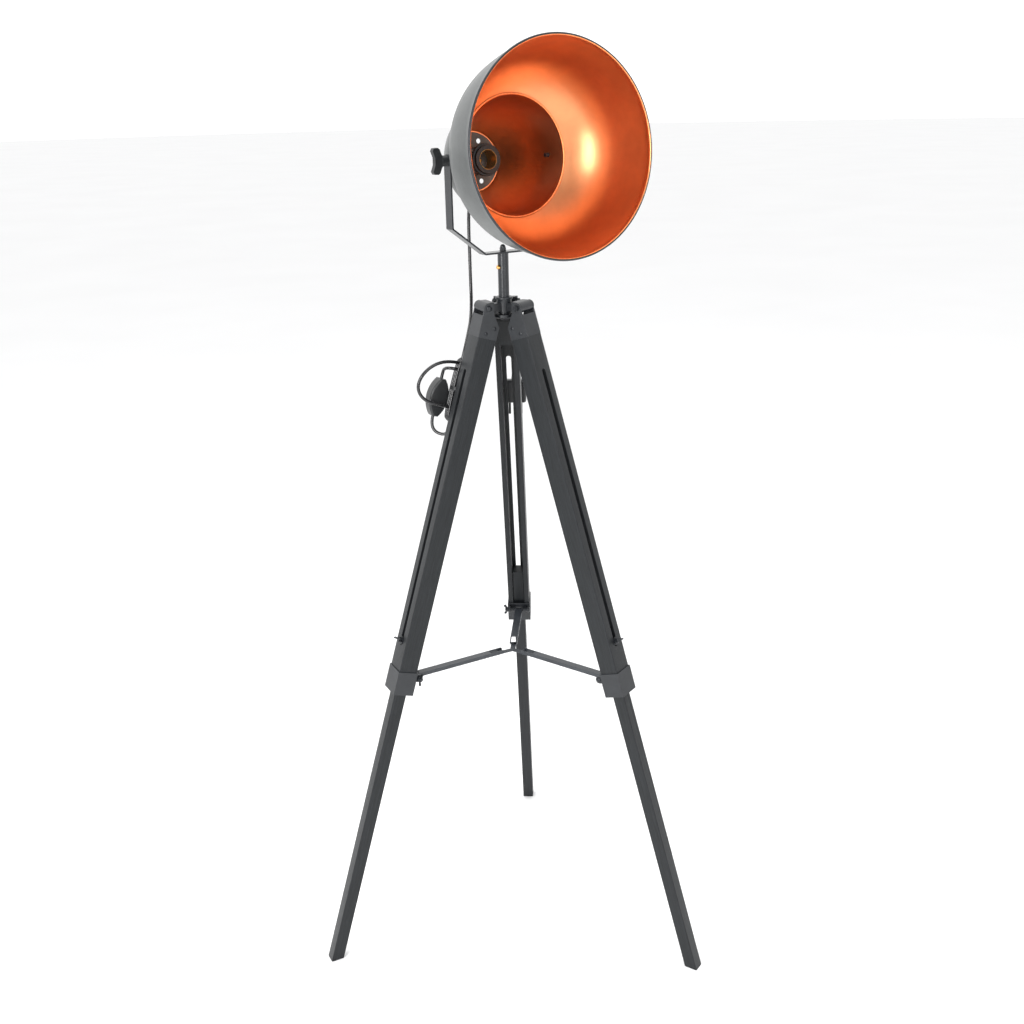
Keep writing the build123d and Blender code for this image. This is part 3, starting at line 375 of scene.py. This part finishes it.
def softened(node, width, segments=2, angle=30.0):
    """A copy of a CAD piece whose hard edges are rounded as its tool or its paint leaves them."""
    bm = bmesh.new()
    bm.from_mesh(frame["nodes"][node].data)
    bmesh.ops.remove_doubles(bm, verts=bm.verts, dist=0.002 * MM)
    bmesh.ops.dissolve_limit(bm, angle_limit=radians(0.6), verts=bm.verts, edges=bm.edges)
    for face in bm.faces:
        face.material_index = 0
    piece = placed(node + "_finished", bm, [finish_of(node)], BODY_OF[node], [node], angle)
    bevel = piece.modifiers.new("edge", "BEVEL")
    bevel.width = width
    bevel.segments = segments
    bevel.limit_method = "ANGLE"
    bevel.angle_limit = radians(angle)
    bevel.harden_normals = True
    bevel.use_clamp_overlap = True
    return piece


def smooth_line(points, steps):
    """Points along a smooth line through the given ones."""
    knots = [Vector(p) for p in points]
    knots = [2 * knots[0] - knots[1], *knots, 2 * knots[-1] - knots[-2]]
    line = []
    for a, b, c, d in zip(knots, knots[1:], knots[2:], knots[3:]):
        for step in range(steps):
            t = step / steps
            line.append(0.5 * (2 * b + (c - a) * t + (2 * a - 5 * b + 4 * c - d) * t * t
                               + (3 * b - a - 3 * c + d) * t ** 3))
    return [*line, knots[-2]]


def offset_line(line, distance):
    """The line moved sideways, to the right of its direction."""
    moved = []
    for index, point in enumerate(line):
        along = line[min(index + 1, len(line) - 1)] - line[max(index - 1, 0)]
        along.normalize()
        moved.append(point + Vector((along.y, -along.x)) * distance)
    return moved


def bead(centre, radius, first, last, steps=10):
    """Part of a small circle in the profile's plane, from one angle to another in degrees."""
    angles = [radians(first + (last - first) * step / steps) for step in range(steps + 1)]
    return [Vector(centre) + Vector((cos(a), sin(a))) * radius for a in angles]


def spun(bm, profile, steps, material):
    """Adds the skin that a profile of (radius, height) points sweeps round Z."""
    before = set(bm.faces)
    verts = [bm.verts.new((p[0], 0.0, p[1])) for p in profile]
    edges = [bm.edges.new(pair) for pair in zip(verts, verts[1:])]
    bmesh.ops.spin(bm, geom=verts + edges, cent=(0, 0, 0), axis=(0, 0, 1), angle=2 * pi, steps=steps,
                   use_merge=True)
    for face in set(bm.faces) - before:
        face.material_index = material


def closed(bm, place):
    """Joins the skins of a shell, turns their faces outwards and puts the shell in its place."""
    bmesh.ops.remove_doubles(bm, verts=bm.verts, dist=0.01 * MM)
    bmesh.ops.recalc_face_normals(bm, faces=bm.faces)
    bmesh.ops.transform(bm, matrix=place, verts=bm.verts)


# ---------------------------------------------------------------- cords

SHADE_SEAT = Vector((0.0, -16.0, -79.8)) * MM
GLAND_LEAN = radians(20.0)
GLAND_LENGTH = 24.0 * MM
GLAND_RUN = 12.0 * MM
SUPPLY_POINTS = [
    (-55.5, 76.5, 1168.0), (-56.6, 77.5, 1138.0), (-56.2, 76.0, 1104.0), (-55.8, 71.5, 1066.0),
    (-54.5, 62.0, 1032.0), (-54.5, 43.0, 1007.0), (-57.0, 20.5, 990.5)]
SUPPLY_END = [(1.0, -28.3, -64.5), (1.0, -28.3, -83.5)]
PLUG_START = [(-5.5, -28.3, -83.5), (-5.5, -28.3, -64.5)]
PLUG_POINTS = [
    (-52.0, 15.0, 982.5), (-46.5, 30.0, 988.5), (-37.5, 46.5, 990.5), (-26.0, 63.5, 987.5),
    (-13.0, 80.5, 978.5), (-1.5, 95.5, 962.0), (5.0, 107.5, 941.0), (6.0, 113.0, 931.0), (6.0, 113.0, 915.0)]
LOOP_POINTS = [
    (6.0, -28.3, -90.0), (22.0, -28.3, -90.0), (44.0, -27.0, -98.5), (58.5, -27.0, -114.5),
    (63.0, -29.0, -132.5), (57.0, -30.0, -147.0), (42.0, -29.5, -156.5), (22.0, -28.3, -158.0),
    (6.0, -28.3, -158.0)]
SWITCH_POINTS = [
    (6.0, -28.3, -100.0), (18.0, -28.3, -100.0), (20.0, -43.0, -104.0), (18.0, -49.0, -111.0),
    (18.0, -49.0, -122.0)]
TAIL_POINTS = [
    (18.0, -49.0, -176.0), (18.0, -49.0, -190.0), (12.0, -42.5, -201.5), (-1.0, -32.5, -202.5),
    (-6.0, -28.3, -192.0), (-6.0, -28.3, -180.0)]
HANK_LOW = Vector((-22.0, -38.3, -182.0))
HANK_HIGH = Vector((8.0, -18.3, -80.0))
HANK_TURNS = 3
HANK_STEPS = 24
HANK_LEAD_R = 2.5
HANK_LAYER = 5.1
HANK_FLATTEN = 2.2


def in_leg(points):
    """Points given in the left leg's frame, which carries the folded lead."""
    place = leg_frame("left")
    return [place @ (Vector(p) * MM) for p in points]


def in_room(points):
    return [Vector(p) * MM for p in points]


def route_curve(name, points, diameter):
    """A smooth curve with the route's points as its control points."""
    data = bpy.data.curves.new(name, "CURVE")
    data.dimensions = "3D"
    spline = data.splines.new("NURBS")
    spline.points.add(len(points) - 1)
    for control, point in zip(spline.points, points):
        control.co = (*point, 1.0)
    spline.order_u = 3
    spline.use_endpoint_u = True
    spline.resolution_u = 12
    data.resolution_u = 12
    data.bevel_depth = diameter / 2
    data.bevel_resolution = 5
    data.use_fill_caps = True
    data.materials.append(MATERIALS["lead_sheath"])
    return bpy.data.objects.new(name, data)


def line_of(curve):
    """The curve's own centreline as points."""
    depth = curve.data.bevel_depth
    curve.data.bevel_depth = 0.0
    bpy.context.scene.collection.objects.link(curve)
    bpy.context.view_layer.update()
    mesh = bpy.data.meshes.new_from_object(curve)
    points = [v.co.copy() for v in mesh.vertices]
    bpy.data.meshes.remove(mesh)
    bpy.context.scene.collection.objects.unlink(curve)
    curve.data.bevel_depth = depth
    return points


def tube(name, points, diameter):
    """A mesh tube that follows points read from a route's curve."""
    data = bpy.data.curves.new(name, "CURVE")
    data.dimensions = "3D"
    spline = data.splines.new("POLY")
    spline.points.add(len(points) - 1)
    for control, point in zip(spline.points, points):
        control.co = (*point, 1.0)
    data.bevel_depth = diameter / 2
    data.bevel_resolution = 5
    data.use_fill_caps = True
    holder = bpy.data.objects.new(name + "_line", data)
    bpy.context.scene.collection.objects.link(holder)
    bpy.context.view_layer.update()
    mesh = bpy.data.meshes.new_from_object(holder)
    mesh.name = name
    bpy.data.objects.remove(holder)
    bpy.data.curves.remove(data)
    mesh.materials.clear()
    mesh.materials.append(MATERIALS["lead_sheath"])
    mesh.shade_smooth()
    piece = bpy.data.objects.new(name, mesh)
    bpy.context.scene.collection.objects.link(piece)
    return piece


def hank_points():
    """Flat turns side by side, an outer layer and then an inner one back through it."""
    pitch = (HANK_HIGH.y - HANK_LOW.y - 2 * HANK_LEAD_R) / HANK_TURNS
    middle_x = (HANK_LOW.x + HANK_HIGH.x) / 2
    middle_z = (HANK_LOW.z + HANK_HIGH.z) / 2
    outer = ((HANK_HIGH.x - HANK_LOW.x) / 2 - HANK_LEAD_R, (HANK_HIGH.z - HANK_LOW.z) / 2 - HANK_LEAD_R)
    inner = (outer[0] - HANK_LAYER, outer[1] - HANK_LAYER)
    points = []
    total = 2 * HANK_TURNS * HANK_STEPS
    for step in range(total + 1):
        turn = step / HANK_STEPS
        angle = 2 * pi * turn
        fade = min(max(turn - HANK_TURNS + 0.5, 0.0), 1.0)
        half_x = outer[0] + (inner[0] - outer[0]) * fade
        half_z = outer[1] + (inner[1] - outer[1]) * fade
        run = half_z - half_x
        up = cos(angle)
        across = sin(angle)
        along = run * max(-1.0, min(1.0, HANK_FLATTEN * up))
        depth = turn * pitch if turn <= HANK_TURNS else (2 * HANK_TURNS - turn) * pitch
        beside = HANK_LOW.y + HANK_LEAD_R + depth
        points.append((middle_x + half_x * across, beside, middle_z + along + half_x * up))
    return points


# ---------------------------------------------------------------- operators

class LAMP_OT_column(bpy.types.Operator):
    """The column with its collar, the hub, the clamp disc and the set screw"""
    bl_idname = "lamp.column"
    bl_label = "Column and hub"

    def execute(self, context):
        edge = context.scene.lamp_sizes.metal_edge
        softened("hub_body", edge)
        softened("hub_clamp_disc", edge)
        softened("column_collar", edge)
        softened("column_set_screw", edge * 0.6)
        dress("column_tube")
        softened("pivot_bolts", edge)
        return {"FINISHED"}


class LAMP_OT_legs(bpy.types.Operator):
    """The three wooden legs in two lengths, with their brackets, collars and screws"""
    bl_idname = "lamp.legs"
    bl_label = "Legs"

    def execute(self, context):
        sizes = context.scene.lamp_sizes
        for name in LEG_NAMES:
            softened("upper_leg_" + name, sizes.wood_edge)
            softened("lower_leg_" + name, sizes.wood_edge)
            softened("leg_bracket_" + name, sizes.metal_edge)
            softened("leg_collar_" + name, sizes.metal_edge)
            softened("bracket_screws_" + name, sizes.metal_edge * 0.6)
        return {"FINISHED"}


class LAMP_OT_leg_fasteners(bpy.types.Operator):
    """The wing bolts that hold the leg lengths, and the spreader's bolts and wing nuts"""
    bl_idname = "lamp.leg_fasteners"
    bl_label = "Wing bolts and nuts"

    def execute(self, context):
        edge = context.scene.lamp_sizes.metal_edge
        for name in LEG_NAMES:
            softened("leg_wing_bolt_" + name, edge)
            softened("spreader_wing_nut_" + name, edge)
            softened("spreader_bolt_" + name, edge * 0.8)
        return {"FINISHED"}


class LAMP_OT_spreader(bpy.types.Operator):
    """The spreader's three channel arms and its hub"""
    bl_idname = "lamp.spreader"
    bl_label = "Spreader"

    def execute(self, context):
        edge = context.scene.lamp_sizes.metal_edge
        for name in LEG_NAMES:
            softened("spreader_arm_" + name, edge * 0.8)
        softened("spreader_hub", edge)
        return {"FINISHED"}


class LAMP_OT_yoke(bpy.types.Operator):
    """The yoke, its spigot and cap nut, and the two tilt knobs"""
    bl_idname = "lamp.yoke"
    bl_label = "Yoke and knobs"

    def execute(self, context):
        sizes = context.scene.lamp_sizes
        softened("yoke", sizes.metal_edge)
        softened("yoke_cap_nut", sizes.metal_edge * 0.6)
        dress("yoke_spigot")
        for side in ("left", "right"):
            softened("tilt_knob_" + side, sizes.knob_edge, 4)
        return {"FINISHED"}


class LAMP_OT_bowl(bpy.types.Operator):
    """The spun bowl of the shade: grey outside, copper inside, with a black rolled rim"""
    bl_idname = "lamp.bowl"
    bl_label = "Shade bowl"

    INNER = [(84.2, 37.0), (95.0, 44.0), (107.0, 54.0), (117.5, 66.0), (125.5, 80.0), (131.5, 98.0),
             (137.5, 128.0), (142.5, 162.0)]
    NECK_R = 84.2
    NECK_BACK = 30.0
    SEAM_RISE = 7.6
    RIM = (143.1, 162.0)
    ROLL_ANGLES = (215.0, -40.0)
    ROLL_STEPS = 15
    COPPER_STEPS = 6

    def execute(self, context):
        sizes = context.scene.lamp_sizes
        inner = [p * MM for p in smooth_line(self.INNER, 5)]
        outer = offset_line(inner, sizes.wall)
        neck_in = Vector((self.NECK_R, self.NECK_BACK)) * MM
        neck_out = neck_in + Vector((sizes.wall, 0.0))
        rim = Vector(self.RIM) * MM
        roll = bead(rim, sizes.bead, *self.ROLL_ANGLES, self.ROLL_STEPS)
        wall = outer[1:-1]
        edge = wall[-1].lerp(roll[-1], 0.5)
        seam = neck_out + Vector((0.0, self.SEAM_RISE * MM))
        bm = bmesh.new()
        spun(bm, [neck_in, *inner[:-1], roll[0]], sizes.round_steps, 1)
        # The inner half of the rim bead takes the brighter copper, a painted highlight along the roll.
        spun(bm, roll[:self.COPPER_STEPS + 1], sizes.round_steps, 3)
        spun(bm, [*roll[self.COPPER_STEPS:], edge], sizes.round_steps, 2)
        spun(bm, [edge, *reversed(wall), seam, neck_out, neck_in], sizes.round_steps, 0)
        closed(bm, shade_frame())
        finishes = [MATERIALS[n] for n in ("shade_grey", "copper", "rim_black", "copper_edge")]
        placed("bowl_skin", bm, finishes, "shade", ["shade_bowl"])
        return {"FINISHED"}


class LAMP_OT_cup(bpy.types.Operator):
    """The deep cup behind the bowl, with its rolled lip and turned-in back"""
    bl_idname = "lamp.cup"
    bl_label = "Shade cup"

    INNER = [(83.0, 37.0), (82.4, 12.0), (79.6, -10.0), (73.2, -30.0), (63.0, -50.0), (51.5, -68.0),
             (42.0, -81.0)]
    LIP = (83.05, 38.1)
    LIP_ANGLES = (-185.0, -10.0)
    LIP_STEPS = 14
    HEM = 0.4
    FLANGE_R = 38.0
    BACK = -81.0

    def execute(self, context):
        sizes = context.scene.lamp_sizes
        inner = [p * MM for p in smooth_line(self.INNER, 5)]
        outer = offset_line(inner, -sizes.wall)
        lip = Vector(self.LIP) * MM
        roll = bead(lip, sizes.lip, *self.LIP_ANGLES, self.LIP_STEPS)
        flange = Vector((self.FLANGE_R, self.BACK)) * MM
        flange_in = flange + Vector((0.0, sizes.wall))
        inside = [p for p in inner if p.y > flange.y + sizes.wall]
        corner = Vector((inside[-1].x - self.HEM * MM, flange.y + sizes.wall))
        bm = bmesh.new()
        # The lip takes the brighter copper, a painted highlight along the rolled lip.
        spun(bm, roll, sizes.round_steps, 2)
        spun(bm, [roll[0], *inside[1:], corner, flange_in], sizes.round_steps, 1)
        spun(bm, [flange_in, flange, outer[-1], *reversed(outer[1:-1]), roll[-1]], sizes.round_steps, 0)
        closed(bm, shade_frame())
        finishes = [MATERIALS[n] for n in ("shade_grey", "copper", "copper_edge")]
        placed("cup_skin", bm, finishes, "shade", ["shade_cup"])
        softened("pivot_bushes", sizes.metal_edge)
        return {"FINISHED"}


class LAMP_OT_lamp_holder(bpy.types.Operator):
    """The lamp holder with its ribbed ring, on the vented plate that closes the cup"""
    bl_idname = "lamp.lamp_holder"
    bl_label = "Lamp holder"

    RING_R = 23.5
    RING_BORE_R = 20.15
    RING_LOW = -44.6
    RING_HIGH = -38.6
    RIBS = 48
    RIB_DEPTH = 0.9

    def execute(self, context):
        edge = context.scene.lamp_sizes.metal_edge
        softened("lamp_holder", edge * 1.4, 3)
        softened("holder_plate", edge * 0.6)
        softened("cord_gland", edge * 1.4, 3)
        dress("holder_liner", "holder_contact")
        bm = bmesh.new()
        steps = 2 * self.RIBS
        ring = bmesh.ops.create_circle(bm, cap_ends=False, segments=steps, radius=self.RING_R)["verts"]
        for index, vert in enumerate(ring):
            if index % 2:
                vert.co *= (self.RING_R - self.RIB_DEPTH) / self.RING_R
        bmesh.ops.create_circle(bm, cap_ends=False, segments=steps, radius=self.RING_BORE_R)
        bmesh.ops.bridge_loops(bm, edges=bm.edges[:])
        flat = bm.faces[:] + bm.edges[:] + bm.verts[:]
        grown = bmesh.ops.extrude_face_region(bm, geom=flat, use_keep_orig=True)
        lifted = [item for item in grown["geom"] if isinstance(item, bmesh.types.BMVert)]
        bmesh.ops.translate(bm, verts=lifted, vec=(0, 0, self.RING_HIGH - self.RING_LOW))
        bmesh.ops.translate(bm, verts=bm.verts, vec=(0, 0, self.RING_LOW))
        bmesh.ops.scale(bm, verts=bm.verts, vec=(MM, MM, MM))
        closed(bm, shade_frame())
        finishes = [finish_of("holder_ring")]
        placed("holder_ring_ribbed", bm, finishes, "shade", ["holder_ring"], sharp=25)
        return {"FINISHED"}


class LAMP_OT_lead(bpy.types.Operator):
    """The mains lead: down from the shade, folded into a hank on the left leg, and on to its plug"""
    bl_idname = "lamp.lead"
    bl_label = "Mains lead"

    SHADE_END = 1.125
    YOKE_END = 1.040

    def execute(self, context):
        diameter = context.scene.lamp_sizes.lead
        place = shade_frame()
        seat = place @ SHADE_SEAT
        along = (place.to_3x3() @ Vector((0.0, -cos(GLAND_LEAN), -sin(GLAND_LEAN)))).normalized()
        start = seat + along * GLAND_LENGTH
        control = [start, start + along * GLAND_RUN, *in_room(SUPPLY_POINTS), *in_leg(SUPPLY_END)]
        line = line_of(route_curve("supply_route", control, diameter))
        first = next(i for i, p in enumerate(line) if p.z < self.SHADE_END)
        second = next(i for i, p in enumerate(line) if p.z < self.YOKE_END)
        stretches = [
            ("lead_at_shade", line[:first + 1], "shade", "yoke", "lead_top"),
            ("lead_at_yoke", line[first:second + 1], "yoke", "stand", "lead_middle"),
            ("lead_at_stand", line[second:], "stand", "leg_left", "lead_lower"),
        ]
        for name, points, above, below, node in stretches:
            piece = tube(name, points, diameter)
            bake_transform(piece)
            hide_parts(node)
        control = [*in_leg(PLUG_START), *in_room(PLUG_POINTS)]
        line = line_of(route_curve("plug_route", control, diameter))
        piece = tube("lead_at_plug", line, diameter)
        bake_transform(piece)
        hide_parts("lead_to_plug")
        folded = [
            ("lead_turns", hank_points(), "coiled", ["lead_hank"], ["lead_tie"], "object"),
            ("lead_loop", LOOP_POINTS, "loose", ["lead_loops"], [], "object"),
            ("lead_to_switch", SWITCH_POINTS, "loose", [], ["foot_switch", "foot_switch_button"], "fitting"),
            ("lead_from_switch", TAIL_POINTS, "loose", [], [], "object"),
        ]
        for name, points, lay, stands_for, pieces, far_end in folded:
            curve = route_curve(name, in_leg(points), diameter)
            line = line_of(curve)
            bpy.context.scene.collection.objects.link(curve)
            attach(curve, "leg_left")
            if stands_for:
                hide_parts(*stands_for)
        return {"FINISHED"}


class LAMP_OT_lead_fittings(bpy.types.Operator):
    """The foot switch, the plug and the tie of the lead"""
    bl_idname = "lamp.lead_fittings"
    bl_label = "Switch and plug"

    def execute(self, context):
        dress("foot_switch", "foot_switch_button", "plug", "lead_tie")
        return {"FINISHED"}


class LAMP_OT_stage(bpy.types.Operator):
    """The pale floor, the soft light and the camera"""
    bl_idname = "lamp.stage"
    bl_label = "Stage"

    FLOOR_R = 40.0
    EYE = Vector((134.614, -1835.801, 1347.590)) * MM
    YAW = -0.0709335
    PITCH = 0.332447
    ROLL = -0.0240894
    SENSOR = 36.0
    AIM = Vector((0.0, 0.0, 0.75))
    KEY_PLACE = (-1.15, -2.35, 1.5)
    KEY_SIZE = (0.9, 1.5)
    FILL_PLACE = (1.6, -2.3, 1.7)
    FILL_SIZE = (1.7, 1.7)
    TOP_PLACE = (-0.6, 0.2, 3.2)
    TOP_SIZE = (2.2, 2.2)
    BRIGHT_SIDE = (-0.42, 0.86, 0.28)
    DARK_FRONT = (0.21, 0.215, 0.225, 1.0)

    def execute(self, context):
        settings = context.scene.lamp_stage
        self.floor(settings)
        self.surround(settings)
        self.light("key_light", self.KEY_PLACE, self.KEY_SIZE, settings.key)
        self.light("fill_light", self.FILL_PLACE, self.FILL_SIZE, settings.fill)
        self.light("top_light", self.TOP_PLACE, self.TOP_SIZE, settings.top)
        self.camera(settings)
        return {"FINISHED"}

    def floor(self, settings):
        bm = bmesh.new()
        bmesh.ops.create_circle(bm, cap_ends=True, segments=96, radius=self.FLOOR_R)
        mesh = bpy.data.meshes.new("floor")
        bm.to_mesh(mesh)
        bm.free()
        finish = Finish("floor", settings.floor, 0.9)
        finish.tint(finish.noise(finish.space(cell=(0.9, 0.9, 0.9))), 0.985, 1.01)
        mesh.materials.append(finish.material)
        floor = bpy.data.objects.new("floor", mesh)
        bpy.context.scene.collection.objects.link(floor)

    def surround(self, settings):
        world = bpy.data.worlds.new("studio")
        world.use_nodes = True
        nodes, links = world.node_tree.nodes, world.node_tree.links
        coordinates = nodes.new("ShaderNodeTexCoord")
        facing = nodes.new("ShaderNodeVectorMath")
        facing.operation = "DOT_PRODUCT"
        facing.inputs[1].default_value = self.BRIGHT_SIDE
        ramp = nodes.new("ShaderNodeValToRGB")
        ramp.color_ramp.elements[0].position = 0.22
        ramp.color_ramp.elements[0].color = self.DARK_FRONT
        ramp.color_ramp.elements[1].position = 0.66
        ramp.color_ramp.elements[1].color = (1.0, 1.0, 1.0, 1.0)
        scale = nodes.new("ShaderNodeMapRange")
        scale.inputs["From Min"].default_value = -1.0
        scale.inputs["From Max"].default_value = 1.0
        links.new(coordinates.outputs["Generated"], facing.inputs[0])
        links.new(facing.outputs["Value"], scale.inputs["Value"])
        links.new(scale.outputs["Result"], ramp.inputs["Fac"])
        background = next(n for n in nodes if n.type == "BACKGROUND")
        links.new(ramp.outputs["Color"], background.inputs["Color"])
        background.inputs["Strength"].default_value = settings.surround
        bpy.context.scene.world = world
        bpy.context.scene.view_settings.view_transform = "Standard"

    def light(self, name, place, size, power):
        data = bpy.data.lights.new(name, "AREA")
        data.shape = "RECTANGLE"
        data.size, data.size_y = size
        data.energy = power
        lamp = bpy.data.objects.new(name, data)
        lamp.location = place
        lamp.rotation_euler = (self.AIM - Vector(place)).to_track_quat("-Z", "Y").to_euler()
        bpy.context.scene.collection.objects.link(lamp)

    def camera(self, settings):
        forward = Vector((sin(self.YAW) * cos(self.PITCH), cos(self.YAW) * cos(self.PITCH), -sin(self.PITCH)))
        level = Vector((cos(self.YAW), -sin(self.YAW), 0.0))
        raised = level.cross(forward)
        across = level * cos(self.ROLL) + raised * sin(self.ROLL)
        above = raised * cos(self.ROLL) - level * sin(self.ROLL)
        data = bpy.data.cameras.new("camera")
        data.lens = settings.lens
        data.sensor_width = self.SENSOR
        data.clip_end = 200.0
        camera = bpy.data.objects.new("camera", data)
        turn = Matrix((across, above, -forward)).transposed()
        camera.matrix_world = Matrix.Translation(self.EYE) @ turn.to_4x4()
        bpy.context.scene.collection.objects.link(camera)
        bpy.context.scene.camera = camera


class LAMP_PT_panel(bpy.types.Panel):
    """Lists the lamp's operators"""
    bl_idname = "LAMP_PT_panel"
    bl_label = "Floor lamp"
    bl_space_type = "VIEW_3D"
    bl_region_type = "UI"
    bl_category = "Floor lamp"

    def draw(self, context):
        for operator in OPERATORS:
            self.layout.operator(operator.bl_idname)
        for group in (context.scene.lamp_sizes, context.scene.lamp_colours, context.scene.lamp_stage):
            box = self.layout.box()
            for name in group.bl_rna.properties.keys():
                if name not in ("rna_type", "name"):
                    box.prop(group, name)


GROUPS = {"lamp_sizes": LampSizes, "lamp_colours": LampColours, "lamp_stage": StageSettings}
OPERATORS = (
    LAMP_OT_stage, LAMP_OT_column, LAMP_OT_legs, LAMP_OT_leg_fasteners, LAMP_OT_spreader, LAMP_OT_yoke,
    LAMP_OT_bowl, LAMP_OT_cup, LAMP_OT_lamp_holder, LAMP_OT_lead_fittings, LAMP_OT_lead,
)


def register():
    for kind in (*GROUPS.values(), *OPERATORS, LAMP_PT_panel):
        bpy.utils.register_class(kind)
    for name, group in GROUPS.items():
        setattr(bpy.types.Scene, name, bpy.props.PointerProperty(type=group))


def unregister():
    for name in GROUPS:
        delattr(bpy.types.Scene, name)
    for kind in reversed((*GROUPS.values(), *OPERATORS, LAMP_PT_panel)):
        bpy.utils.unregister_class(kind)


def main():
    register()
    make_materials(bpy.context.scene.lamp_colours)
    for operator in OPERATORS:
        family, name = operator.bl_idname.split(".")
        getattr(getattr(bpy.ops, family), name)()


if __name__ == "__main__":
    main()
